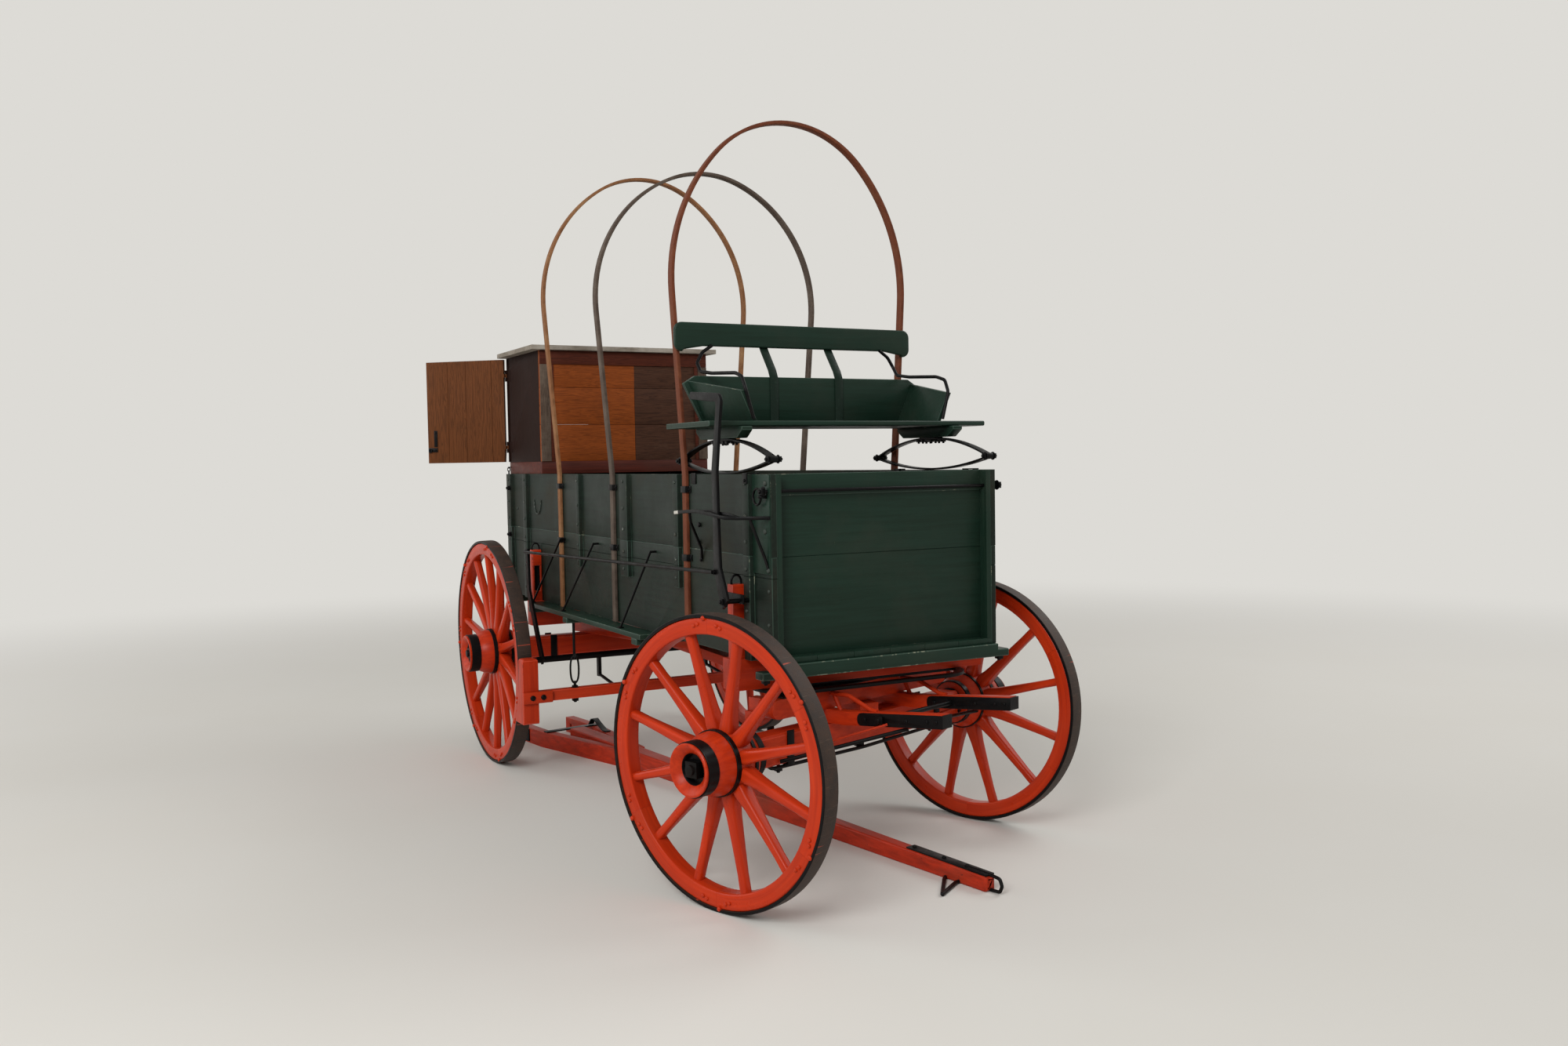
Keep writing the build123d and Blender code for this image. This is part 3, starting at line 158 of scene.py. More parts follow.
def bare_timber(name, light, dark, grey, grain, greyed, rough_low=0.6, figure=0.6):
    """sawn pine or steamed ash without paint: growth rings drawn out along the grain, greyed by weather"""
    finish, tree, coords = new_finish(name, grain)
    along = drawn_out(tree, coords, grain)
    rings = node(tree, "ShaderNodeTexNoise",
                 {"Vector": along, "Scale": 1.9, "Detail": 3, "Roughness": 0.5, "Distortion": 1.2})
    # latewood lines sit 2 to 5 mm apart on a flat-sawn face
    lines = node(tree, "ShaderNodeMath", {0: rings, 1: 60.0}, operation="MULTIPLY")
    lines = node(tree, "ShaderNodeMath", {0: lines}, operation="SINE")
    # torn fibre lies 1 to 2 mm apart
    fibre = node(tree, "ShaderNodeTexNoise", {"Vector": along, "Scale": 26, "Detail": 6, "Roughness": 0.7})
    weather = node(tree, "ShaderNodeTexNoise", {"Vector": coords, "Scale": 5, "Detail": 6, "Roughness": 0.65})
    late = node(tree, "ShaderNodeMapRange",
                {"Value": lines, "From Min": -0.2, "From Max": 1.0, "To Max": figure})
    body = node(tree, "ShaderNodeMix", {0: late, 6: tint(light), 7: tint(dark)}, out=2, data_type="RGBA")
    torn = node(tree, "ShaderNodeMapRange",
                {"Value": fibre, "From Min": 0.42, "From Max": 0.75, "To Max": 0.5})
    body = node(tree, "ShaderNodeMix", {0: torn, 6: body, 7: tint(dark)}, out=2, data_type="RGBA")
    aged = node(tree, "ShaderNodeMapRange",
                {"Value": weather, "From Min": 0.62 - greyed, "From Max": 0.9 - greyed, "To Max": 0.85})
    colour = node(tree, "ShaderNodeMix", {0: aged, 6: body, 7: tint(grey)}, out=2, data_type="RGBA")
    rough = node(tree, "ShaderNodeMapRange",
                 {"Value": weather, "To Min": rough_low, "To Max": rough_low + 0.25})
    relief = node(tree, "ShaderNodeBump", {"Height": fibre, "Strength": 0.5, "Distance": 0.0008})
    relief = node(tree, "ShaderNodeBump",
                  {"Height": lines, "Strength": 0.12, "Distance": 0.0006, "Normal": relief})
    close_finish(tree, colour, rough, relief, Specular_IOR_Level=0.1)
    return finish


def worn_arris(name, paint, bare, share):
    """the rubbed corners of painted timber: the paint broken by bare wood"""
    finish, tree, coords = new_finish(name)
    rub = node(tree, "ShaderNodeTexNoise", {"Vector": coords, "Scale": 34, "Detail": 6, "Roughness": 0.7})
    long_rub = node(tree, "ShaderNodeTexNoise", {"Vector": coords, "Scale": 4.5, "Detail": 3})
    both = node(tree, "ShaderNodeMath", {0: rub, 1: long_rub}, operation="MULTIPLY")
    worn = node(tree, "ShaderNodeMapRange", {"Value": both, "From Min": share, "From Max": share + 0.04})
    colour = node(tree, "ShaderNodeMix", {0: worn, 6: tint(paint), 7: tint(bare)}, out=2, data_type="RGBA")
    rough = node(tree, "ShaderNodeMapRange", {"Value": rub, "To Min": 0.35, "To Max": 0.75})
    relief = node(tree, "ShaderNodeBump", {"Height": rub, "Strength": 0.4, "Distance": 0.0006})
    close_finish(tree, colour, rough, relief)
    return finish


def forged_iron(name, coat, worn, rust, gloss, rusty=0.8):
    """wrought bar painted black: hammer marks some 10 mm wide, a brown bloom where the paint is thin"""
    finish, tree, coords = new_finish(name)
    hammer = node(tree, "ShaderNodeTexNoise", {"Vector": coords, "Scale": 70, "Detail": 2, "Roughness": 0.4})
    bloom = node(tree, "ShaderNodeTexNoise", {"Vector": coords, "Scale": 11, "Detail": 7, "Roughness": 0.7})
    # the paint's grit is drawn 2 mm wide, coarser than the real one, so that it shows
    grit = node(tree, "ShaderNodeTexNoise", {"Vector": coords, "Scale": 420, "Detail": 2})
    thin = node(tree, "ShaderNodeMapRange",
                {"Value": bloom, "From Min": 0.5, "From Max": 0.72, "To Max": rusty})
    body = node(tree, "ShaderNodeMix", {0: thin, 6: tint(coat), 7: tint(rust)}, out=2, data_type="RGBA")
    rubbed = node(tree, "ShaderNodeMapRange",
                  {"Value": hammer, "From Min": 0.62, "From Max": 0.72, "To Max": 0.5})
    colour = node(tree, "ShaderNodeMix", {0: rubbed, 6: body, 7: tint(worn)}, out=2, data_type="RGBA")
    rough = node(tree, "ShaderNodeMapRange", {"Value": bloom, "From Min": 0.3, "From Max": 0.7,
                                              "To Min": gloss, "To Max": gloss + 0.3})
    relief = node(tree, "ShaderNodeBump", {"Height": hammer, "Strength": 0.5, "Distance": 0.0012})
    relief = node(tree, "ShaderNodeBump",
                  {"Height": grit, "Strength": 0.15, "Distance": 0.0004, "Normal": relief})
    close_finish(tree, colour, rough, relief, Specular_IOR_Level=0.12)
    return finish


def road_worn_iron(name):
    """flat iron rolled over stones: brown rust, pale scuffs across the tread, smears of the wheel's paint"""
    finish, tree, coords = new_finish(name, "piece")
    along = drawn_out(tree, coords, "piece")
    cloud = node(tree, "ShaderNodeTexNoise", {"Vector": coords, "Scale": 16, "Detail": 8, "Roughness": 0.7})
    pits = node(tree, "ShaderNodeTexVoronoi", {"Vector": coords, "Scale": 190})
    # scuffs run across the tread, 1 to 3 mm wide, and the smears of paint are 10 mm wide
    scuffs = node(tree, "ShaderNodeTexNoise", {"Vector": along, "Scale": 9, "Detail": 6, "Roughness": 0.8})
    smears = node(tree, "ShaderNodeTexNoise", {"Vector": along, "Scale": 3.1, "Detail": 2, "Roughness": 0.5})
    mottled = node(tree, "ShaderNodeMapRange", {"Value": cloud, "From Min": 0.35, "From Max": 0.65})
    body = node(tree, "ShaderNodeMix", {0: mottled, 6: tint("#22160f"), 7: tint("#3b281d")}, out=2,
                data_type="RGBA")
    scuffed = node(tree, "ShaderNodeMapRange",
                   {"Value": scuffs, "From Min": 0.58, "From Max": 0.7, "To Max": 0.55})
    body = node(tree, "ShaderNodeMix", {0: scuffed, 6: body, 7: tint("#6f5848")}, out=2, data_type="RGBA")
    smeared = node(tree, "ShaderNodeMapRange",
                   {"Value": smears, "From Min": 0.67, "From Max": 0.69, "To Max": 0.8})
    colour = node(tree, "ShaderNodeMix", {0: smeared, 6: body, 7: tint("#a8442e")}, out=2, data_type="RGBA")
    rough = node(tree, "ShaderNodeMapRange", {"Value": cloud, "To Min": 0.5, "To Max": 0.8})
    relief = node(tree, "ShaderNodeBump", {"Height": pits, "Strength": 0.3, "Distance": 0.0012})
    relief = node(tree, "ShaderNodeBump",
                  {"Height": scuffs, "Strength": 0.5, "Distance": 0.001, "Normal": relief})
    close_finish(tree, colour, rough, relief, Metallic=0.2)
    return finish


# Paint colours: fresh paint, the deeper tone between its ridges, the dust on it, what a chip lays bare
GREEN = ("#1b3127", "#16281e", "#2a3229", "#5a6050")
RED = ("#c13612", "#a2280e", "#a53c1e", "#571e12")

# Dark green enamel of the box's ends and the seat, its brush marks along the boards' own axis
green = {g: brushed_enamel(f"green_enamel_{g}", *GREEN, g, 0.34, 0.86, 0.7) for g in "xyz"}
# The sides' green has dulled to a brownish, dusty grey-green
side_green = brushed_enamel("side_green_enamel_dusty", "#19261e", "#121914", "#2c291f", "#4c483a",
                            "x", 0.42, 0.85, 0.8)
green_arris = worn_arris("green_rubbed_corner", "#213a2e", "#7b7f6c", 0.335)
# Orange-red enamel of the running gear, glossier on the wheels
red = {g: brushed_enamel(f"red_enamel_{g}", *RED, g, 0.3, 0.87, 0.4) for g in "xyz"}
wheel_red = brushed_enamel("wheel_red_enamel", *RED, "piece", 0.24, 0.88, 0.35)
red_arris = worn_arris("red_rubbed_corner", "#c93c1a", "#6b2415", 0.33)
# The tongue has lain on the ground: its red is dull, dirty and chipped, and darker all over as painted shade
tongue_shaded_red = brushed_enamel("tongue_red_trodden_and_shaded", "#bb3318", "#8a2410", "#7a3a2a", "#33211b",
                            "x", 0.38, 0.76, 0.7)
# The cupboard's base frame is a thin red-brown stain
base_red = brushed_enamel("cupboard_base_red_brown", "#5c2a20", "#3c1b15", "#4e342b", "#2c1a14",
                          "y", 0.45, 0.82)
# Forged irons: black paint, green paint on the seat's straps, the guide bars' ends painted near white as a painted
# highlight, bolt heads painted grey as a painted highlight on black iron
black_iron = forged_iron("black_painted_iron", "#09090a", "#171616", "#160f0b", 0.26)
green_iron = forged_iron("green_painted_iron", "#15241c", "#22352b", "#1c231b", 0.3)
white_painted_highlight = forged_iron("guide_end_painted_highlight", "#c9c6bd", "#e8e6e0", "#8d877c", 0.25)
bolt_painted_highlight = forged_iron("bolt_head_painted_highlight", "#39403b", "#8d918a", "#4a443c", 0.28)
tyre_iron = road_worn_iron("road_worn_tyre")
# Steam-bent ash of the hoops: honey brown at the rear, greyed in the middle, reddish in front, the red a painted
# warm light
hoop_rear = bare_timber("rear_hoop_ash", "#8c6141", "#55321f", "#a98560", "piece", 0.12, 0.5, 0.3)
hoop_middle = bare_timber("middle_hoop_ash_grey", "#584c43", "#332a26", "#786c61", "piece", 0.14, 0.5, 0.3)
hoop_front_warm_lit = bare_timber("front_hoop_ash_painted_warm_light", "#6f3d29", "#40231a", "#7a5038", "piece", 0.1, 0.45, 0.3)
# Sawn pine of the cupboard: varnished and orange in front, oiled almost black at the side, brown doors
front_pine = bare_timber("cupboard_front_varnished", "#8f481d", "#522610", "#5e3018", "y", 0.04, 0.42, 0.5)
dark_pine = bare_timber("cupboard_front_dark", "#4f3427", "#2a1b15", "#5e4a3c", "y", 0.06, 0.55)
side_pine = bare_timber("cupboard_side_oiled", "#24110b", "#140905", "#1e0f0a", "z", 0.04, 0.5)
door_pine = bare_timber("cupboard_door_boards", "#6a3d20", "#38200f", "#4a2d1a", "z", 0.06, 0.5, 0.5)
rail_pine = bare_timber("cupboard_top_rail", "#56291c", "#301610", "#40241b", "y", 0.03, 0.45)
# Bare boards greyed by weather and wear: corner strips, lid, floor, and the brake shoes' worn faces
post_grey = bare_timber("cupboard_corner_weathered", "#5c4d42", "#2f2620", "#7a6d60", "z", 0.12, 0.65)
lid_grey = bare_timber("lid_board_weathered", "#8f867a", "#585047", "#b5aea3", "y", 0.2, 0.65)
floor_bare = bare_timber("box_floor_worn", "#7c624a", "#4b3828", "#8c8172", "x", 0.15, 0.65)
block_worn = bare_timber("brake_shoe_worn", "#6b5a4c", "#43372e", "#87796b", "z", 0.12, 0.7)


# Ways of working
def only(thing):
    """leave just this object selected and active"""
    if bpy.context.object and bpy.context.object.mode != "OBJECT":
        bpy.ops.object.mode_set(mode="OBJECT")
    bpy.ops.object.select_all(action="DESELECT")
    thing.select_set(True)
    bpy.context.view_layer.objects.active = thing


def use_modifier(thing, kind, **settings):
    """add a modifier and apply it"""
    only(thing)
    change = thing.modifiers.new(kind.lower(), kind)
    for key, value in settings.items():
        setattr(change, key, value)
    bpy.ops.object.modifier_apply(modifier=change.name)


def settle(thing):
    """put the object's place, turn and size into its mesh"""
    only(thing)
    bpy.ops.object.transform_apply(location=True, rotation=True, scale=True)


def new_shape(add, scale=(1, 1, 1), **settings):
    """add a basic shape on its own, with its size, place and turn in its mesh"""
    bpy.ops.object.select_all(action="DESELECT")
    add(**settings)
    shape = bpy.context.object
    shape.scale = scale
    settle(shape)
    return shape


def draw_out(x, y, z):
    """extrude what is selected, by so many metres"""
    bpy.ops.mesh.extrude_region_move(TRANSFORM_OT_translate={"value": (x, y, z)})


def smooth(thing, angle=35):
    """smooth shading that keeps the corners sharp"""
    only(thing)
    bpy.ops.object.shade_smooth_by_angle(angle=radians(angle))


def millimetres(point):
    """a mesh point as millimetres from the kingpin"""
    return Vector((point.x * 1000 - KINGPIN_X, point.y * 1000, point.z * 1000))


def edit(thing, kind, action="DESELECT"):
    """go into edit mode on points, edges or faces, with all or none of them selected"""
    only(thing)
    bpy.ops.object.mode_set(mode="EDIT")
    bpy.ops.mesh.select_mode(type=kind)
    bpy.ops.mesh.select_all(action=action)


def done():
    """back to object mode"""
    bpy.ops.object.mode_set(mode="OBJECT")


def pick(thing, kind, test):
    """go into edit mode with only the edges or faces selected whose points all pass a test in millimetres"""
    edit(thing, kind)
    done()
    passed = [test(millimetres(point.co)) for point in thing.data.vertices]
    for part in thing.data.edges if kind == "EDGE" else thing.data.polygons:
        part.select = all(passed[i] for i in part.vertices)
    bpy.ops.object.mode_set(mode="EDIT")


def pick_pairs(thing, test):
    """go into edit mode with only the edges selected whose two ends pass a test together"""
    edit(thing, "EDGE")
    done()
    for edge in thing.data.edges:
        edge.select = test(*(millimetres(thing.data.vertices[i].co) for i in edge.vertices))
    bpy.ops.object.mode_set(mode="EDIT")


def pick_facing(thing, axis):
    """go into edit mode with only the faces selected that look along an axis: 0, 1 or 2"""
    edit(thing, "FACE")
    done()
    for face in thing.data.polygons:
        face.select = face.normal[axis] > 0.9
    bpy.ops.object.mode_set(mode="EDIT")


def paint_faces(thing, slot, test):
    """give one of its finishes to the faces whose middle and normal pass a test"""
    for face in thing.data.polygons:
        if test(millimetres(face.center), face.normal):
            face.material_index = slot


def grain_along(thing, rule):
    """keep on each point where it lies along, across and through the timber, for the finish to follow"""
    marks = thing.data.attributes.new("grain", "FLOAT_VECTOR", "POINT")
    for point, mark in zip(thing.data.vertices, marks.data):
        mark.vector = rule(point.co)


def dress(thing, name, finishes, body, stands_for=()):
    """name a finished piece, give it its finishes and let it ride on its body"""
    thing.name = name
    thing.data.name = name
    slots = [face.material_index for face in thing.data.polygons]
    thing.data.materials.clear()
    for finish in finishes:
        thing.data.materials.append(finish)
    for face, number in zip(thing.data.polygons, slots):
        face.material_index = min(number, len(finishes) - 1)
    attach(thing, body)
    if stands_for:
        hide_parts(*stands_for)
    return thing


SOFT_CORNER = 28            # corners of fewer degrees than this are left as they are


def loose_copy(part):
    """a copy of a CAD piece with its triangles merged into whole faces"""
    source = frame["nodes"][part]
    copy = source.copy()
    copy.data = source.data.copy()
    copy.parent = None
    bpy.context.collection.objects.link(copy)
    copy.matrix_world = source.matrix_world
    settle(copy)
    edit(copy, "VERT", "SELECT")
    bpy.ops.mesh.remove_doubles(threshold=0.00002)
    bpy.ops.mesh.dissolve_limited(angle_limit=radians(0.6))
    bpy.ops.mesh.customdata_custom_splitnormals_clear()
    done()
    return copy


def planed(part, finishes, arris=2.5, steps=2, work=None, joints=None):
    """a CAD piece with its corners eased by hand plane and finished. Work is done before the corners are
    eased, joints are cut after; the eased faces take the last finish where that is a rubbed corner"""
    copy = loose_copy(part)
    copy.data.materials.clear()
    for finish in finishes:
        copy.data.materials.append(finish)
    for face in copy.data.polygons:
        face.material_index = 0
    if work:
        work(copy)
    rubbed = len(finishes) - 1 if finishes[-1] in (green_arris, red_arris) else -1
    use_modifier(copy, "BEVEL", width=arris / 1000, segments=steps, limit_method="ANGLE",
                 angle_limit=radians(SOFT_CORNER), material=rubbed, use_clamp_overlap=True)
    if joints:
        joints(copy)
    edit(copy, "VERT", "SELECT")
    bpy.ops.mesh.dissolve_degenerate(threshold=0.00003)
    bpy.ops.mesh.remove_doubles(threshold=0.00001)
    done()
    smooth(copy, SOFT_CORNER)
    return dress(copy, f"{part}_finished", finishes, body_of[part], (part,))


def groove(thing, place, normal, test, width=2.4, depth=3):
    """a V joint between boards: a cut round the piece, widened and pressed in where the test lets it"""
    edit(thing, "EDGE", "SELECT")
    bpy.ops.mesh.bisect(plane_co=spot(*place), plane_no=normal)
    done()
    at, way = Vector(place), Vector(normal)

    def on_cut(p):
        return abs((p - at).dot(way)) < 0.05 and test(p)

    pick(thing, "EDGE", on_cut)
    bpy.ops.mesh.bevel(offset=width / 2000, segments=2)
    done()
    pick(thing, "EDGE", on_cut)
    bpy.ops.transform.shrink_fatten(value=-depth / 1000)
    done()


def move(thing, test, by):
    """move the edges that pass a test, by so many millimetres"""
    pick(thing, "EDGE", test)
    bpy.ops.transform.translate(value=Vector(by) / 1000)
    done()


def take_off(thing, test):
    """take away the faces that pass a test"""
    pick(thing, "FACE", test)
    bpy.ops.mesh.delete(type="FACE")
    done()


def turned(profile, count):
    """a turned ring: a circle drawn out through a closed row of radius and height"""
    (radius, height), rest = profile[0], profile[1:]
    ring = new_shape(bpy.ops.mesh.primitive_circle_add, vertices=count, radius=radius / 1000,
                     location=(0, 0, height / 1000))
    edit(ring, "VERT", "SELECT")
    for next_radius, next_height in (*rest, profile[0]):
        draw_out(0, 0, (next_height - height) / 1000)
        ratio = next_radius / radius
        bpy.ops.transform.resize(value=(ratio, ratio, 1), center_override=(0, 0, next_height / 1000))
        radius, height = next_radius, next_height
    bpy.ops.mesh.select_all(action="SELECT")
    bpy.ops.mesh.remove_doubles(threshold=0.00001)
    bpy.ops.mesh.normals_make_consistent(inside=False)
    done()
    smooth(ring, 30)
    grain_along(ring, lambda p: (p.z, p.x, p.y))
    return ring


NEXT_PLANK = 0.43           # metres of grain from one copy to the next, so that no two look alike


def copies(pattern, places):
    """one object made of a pattern's copies, each with its own mesh and its own run of grain"""
    made = []
    for number, place in enumerate(places):
        one = pattern.copy()
        one.data = pattern.data.copy()
        one.data.transform(place)
        marks = one.data.attributes.get("grain")
        if marks:
            for mark in marks.data:
                mark.vector = mark.vector + Vector((0, NEXT_PLANK * number, 0))
        bpy.context.collection.objects.link(one)
        made.append(one)
    bpy.data.objects.remove(pattern, do_unlink=True)
    return joined(made)


def joined(things):
    """several objects as one"""
    only(things[0])
    for thing in things:
        thing.select_set(True)
    if len(things) > 1:
        bpy.ops.object.join()
    return bpy.context.object


def turn_z(angle):
    """a turn about the upright axis"""
    return Matrix.Rotation(angle, 4, "Z")


def facing(place, normal):
    """where a pattern that stands on z = 0 goes, its top towards normal"""
    turn = Vector(normal).to_track_quat("Z", "Y").to_matrix().to_4x4()
    return Matrix.Translation(spot(*place)) @ turn


def fitted(name, things, finish, body="wagon", place=None, stands_for=()):
    """join loose pieces, bring them to their place and dress them"""
    thing = joined(things)
    if place is not None:
        thing.data.transform(place)
    return dress(thing, name, [finish], body, stands_for)


def ring_of(count, start=0):
    """the angles of so many places round a ring, the first so many steps on"""
    return [2 * pi * (k + start) / count for k in range(count)]


def strap(places, across, width, thick, arris=0.8):
    """a flat bar bent through a row of places: an edge drawn from place to place, then given its thickness"""
    points = [spot(*place) for place in places]
    half = Vector(across).normalized() * width / 2000
    bar = new_shape(bpy.ops.mesh.primitive_plane_add, size=1)
    edit(bar, "VERT")
    done()
    for point in bar.data.vertices:
        point.select = point.co.x > 0
    bpy.ops.object.mode_set(mode="EDIT")
    bpy.ops.mesh.delete(type="VERT")
    done()
    bar.data.vertices[0].co = points[0] - half
    bar.data.vertices[1].co = points[0] + half
    edit(bar, "EDGE", "SELECT")
    for last, point in zip(points, points[1:]):
        draw_out(*(point - last))
    bpy.ops.mesh.select_all(action="SELECT")
    bpy.ops.mesh.normals_make_consistent(inside=False)
    done()
    use_modifier(bar, "SOLIDIFY", thickness=thick / 1000, offset=0, use_even_offset=True)
    use_modifier(bar, "BEVEL", width=arris / 1000, segments=2, limit_method="ANGLE",
                 angle_limit=radians(50))
    smooth(bar, 40)
    return bar


def rod(places, radius, bend=18, closed=False):
    """a round bar drawn as a curve through straight legs and eased corners, then made a mesh"""
    points = [Vector(place) for place in places]
    row = []
    for number, point in enumerate(points):
        if closed or number in (0, len(points) - 1):
            row.append(point)
            continue
        for other in (points[number - 1], point, points[number + 1]):
            leg = other - point
            row.append(point + leg.normalized() * min(bend, leg.length * 0.45))
    bpy.ops.object.select_all(action="DESELECT")
    bpy.ops.curve.primitive_nurbs_path_add()
    bar = bpy.context.object
    bar.data.splines.clear()
    run = bar.data.splines.new("NURBS")
    run.points.add(len(row) - 1)
    for point, place in zip(run.points, row):
        point.co = (*spot(*place), 1)
    run.order_u = 4 if closed else 3
    run.use_endpoint_u = not closed
    run.use_cyclic_u = closed
    run.resolution_u = 5
    bar.data.bevel_depth = radius / 1000
    bar.data.bevel_resolution = 2
    bar.data.use_fill_caps = True
    only(bar)
    bpy.ops.object.convert(target="MESH")
    smooth(bpy.context.object, 50)
    return bpy.context.object


def round_head(radius, height):
    """a carriage bolt's domed head, standing on z = 0"""
    head = new_shape(bpy.ops.mesh.primitive_cylinder_add, vertices=14, radius=radius / 1000,
                     depth=height / 2000, location=(0, 0, height / 4000))
    pick_facing(head, 2)
    for shrink, rise in ((0.9, 0.26), (0.76, 0.15), (0.5, 0.09)):
        draw_out(0, 0, rise * height / 1000)
        bpy.ops.transform.resize(value=(shrink, shrink, 1))
    done()
    smooth(head, 60)
    grain_along(head, lambda p: (p.x, p.y, p.z))
    return head


def square_nut(side, height):
    """a square nut on its washer with the bolt's end through it, standing on z = 0"""
    nut = new_shape(bpy.ops.mesh.primitive_cube_add, (side / 1000, side / 1000, height / 1000),
                    size=1, location=(0, 0, (height / 2 + 2) / 1000))
    use_modifier(nut, "BEVEL", width=0.0012, segments=2)
    bolt_r, washer_r = side * 0.3, side * 0.78
    washer = turned(((bolt_r, 0), (washer_r, 0), (washer_r, 1.6), (side * 0.74, 2.2), (bolt_r, 2.2)), 20)
    bolt = turned(((0.1, height), (bolt_r, height), (bolt_r, height + 6), (side * 0.24, height + 8),
                   (0.1, height + 8)), 12)
    nut = joined([nut, washer, bolt])
    smooth(nut, 40)
    return nut


# Wheels
FRONT_R, REAR_R = 512, 575
TYRE_T, TYRE_HALF = 12, 34              # the tyre's thickness and half width
FELLOE_DEPTH, FELLOE_HALF = 58, 30      # the felloes' depth under the tyre and half width
# the hub's outline as radius and height from the spokes' plane: back, barrel, nose, flared cup for the nut
HUB_WOOD = ((38, -150), (83, -150), (85, -148), (85, -123), (90, -119), (97, -108), (105, -95),
            (110, -86), (112, -80), (112.5, -60), (113, -40), (112.8, -10), (112, 8), (111.6, 20),
            (109.8, 36), (106, 52), (100.5, 67), (94, 80), (91, 84), (90, 88), (90, 128), (91, 131),
            (92, 135), (91.6, 138), (89.5, 140), (85, 140), (81, 138.5), (74, 134), (64, 126),
            (55, 117), (50, 109), (49, 104), (49, 95), (27, 95))
CUP_BLACK_R, CUP_BLACK_Z = 52.5, 90         # inside these the hub's cup is painted black
# each band's lower edge, width, seat radius and thickness
HUB_BANDS = ((-147, 26, 85.3, 5), (-82, 14, 112.6, 4), (0, 20, 112.2, 4), (84, 46, 90.6, 5))


def wheel_place(name):
    """the wheel's own frame: Z out along the axle arm, X forward"""
    joint = joint_of[name]
    out = Vector(joint["axis"]).normalized()
    across = Vector((0, 0, 1)).cross(out).normalized()
    ahead = across if across.x > 0 else -across
    up = out.cross(ahead)
    turn = Matrix((ahead, up, out)).transposed().to_4x4()
    return Matrix.Translation(Vector(joint["pos_m"])) @ turn


SPOKE_FOOT_R, SPOKE_FOOT = 94, (47, 58)     # where the foot starts, how wide and deep it is there
SPOKE_DISH = (92, -30, 30)              # radius and height where the dish starts, and its rise


def spoke(felloe_r):
    """one spoke along X: broad foot against its neighbours, body drawn in to an oval, shoulder at the felloe"""
    # radius, width and depth at each station
    stations = ((128, 52, 58), (150, 46, 56), (190, 40, 50), (300, 34, 42), (felloe_r - 60, 31, 37),
                (felloe_r - 12, 32, 38), (felloe_r + 14, 31, 37))
    wide, deep = SPOKE_FOOT
    thick = 14
    arm = new_shape(bpy.ops.mesh.primitive_cube_add, (thick / 1000, wide / 1000, deep / 1000),
                    size=1, location=((SPOKE_FOOT_R + thick / 2) / 1000, 0, 0))
    pick_facing(arm, 0)
    reach = SPOKE_FOOT_R + thick
    for r, next_wide, next_deep in stations:
        draw_out((r - reach) / 1000, 0, 0)
        bpy.ops.transform.resize(value=(1, next_wide / wide, next_deep / deep),
                                 center_override=(r / 1000, 0, 0))
        reach, wide, deep = r, next_wide, next_deep
    pick_pairs(arm, lambda a, b: abs(a.x - b.x) > 5)
    bpy.ops.mesh.bevel(offset=0.0125, segments=3, profile=0.55)
    done()
    # the dish leans the spoke out towards its felloe
    start_r, start_z, rise = (value / 1000 for value in SPOKE_DISH)
    for point in arm.data.vertices:
        point.co.z += start_z + rise * (point.co.x - start_r) / (felloe_r / 1000 - start_r)
    smooth(arm, 40)
    grain_along(arm, lambda p: (p.x, p.y, p.z))
    return arm


def felloe(inner_r, outer_r, sweep):
    """one felloe, bent from a square section, with eased corners"""
    middle = (inner_r + outer_r) / 2000
    bent = new_shape(bpy.ops.mesh.primitive_plane_add, ((outer_r - inner_r) / 1000, 2 * FELLOE_HALF / 1000, 1),
                     size=1, location=(middle, 0, 0), rotation=(pi / 2, 0, 0))
    bent.data.transform(turn_z(-sweep / 2))
    edit(bent, "VERT", "SELECT")
    bpy.ops.mesh.bevel(offset=0.006, segments=3, affect="VERTICES")
    bpy.ops.mesh.select_all(action="SELECT")
    bpy.ops.mesh.spin(steps=14, angle=-sweep, center=(0, 0, 0), axis=(0, 0, 1))
    bpy.ops.mesh.select_all(action="SELECT")
    bpy.ops.mesh.remove_doubles(threshold=0.00001)
    bpy.ops.mesh.select_all(action="DESELECT")
    bpy.ops.mesh.select_mode(type="EDGE")
    bpy.ops.mesh.select_non_manifold()
    bpy.ops.mesh.edge_face_add()
    bpy.ops.mesh.select_all(action="SELECT")
    bpy.ops.mesh.normals_make_consistent(inside=False)
    done()
    smooth(bent, 35)
    grain_along(bent, lambda p: (middle * atan2(p.y, p.x), p.xy.length, p.z))
    return bent


def tyre(wheel_r):
    """the flat iron tyre, its tread a little crowned and its sides painted black"""
    side_r, inner_r = wheel_r - 3, wheel_r - TYRE_T
    iron = turned(((inner_r, -TYRE_HALF), (side_r, -TYRE_HALF), (wheel_r - 0.8, -32), (wheel_r, -26),
                   (wheel_r, 0), (wheel_r, 26), (wheel_r - 0.8, 32), (side_r, TYRE_HALF),
                   (inner_r, TYRE_HALF), (inner_r, 0)), 112)
    for face in iron.data.polygons:
        face.material_index = 1 if abs(face.normal.z) > 0.6 else 0
    return iron


def hub_bands():
    """the four iron bands driven on the hub, their outer corners eased by 1 mm"""
    return joined([turned(((seat, low), (seat + thick - 1, low), (seat + thick, low + 1),
                           (seat + thick, low + width - 1), (seat + thick - 1, low + width),
                           (seat, low + width)), 64) for low, width, seat, thick in HUB_BANDS])


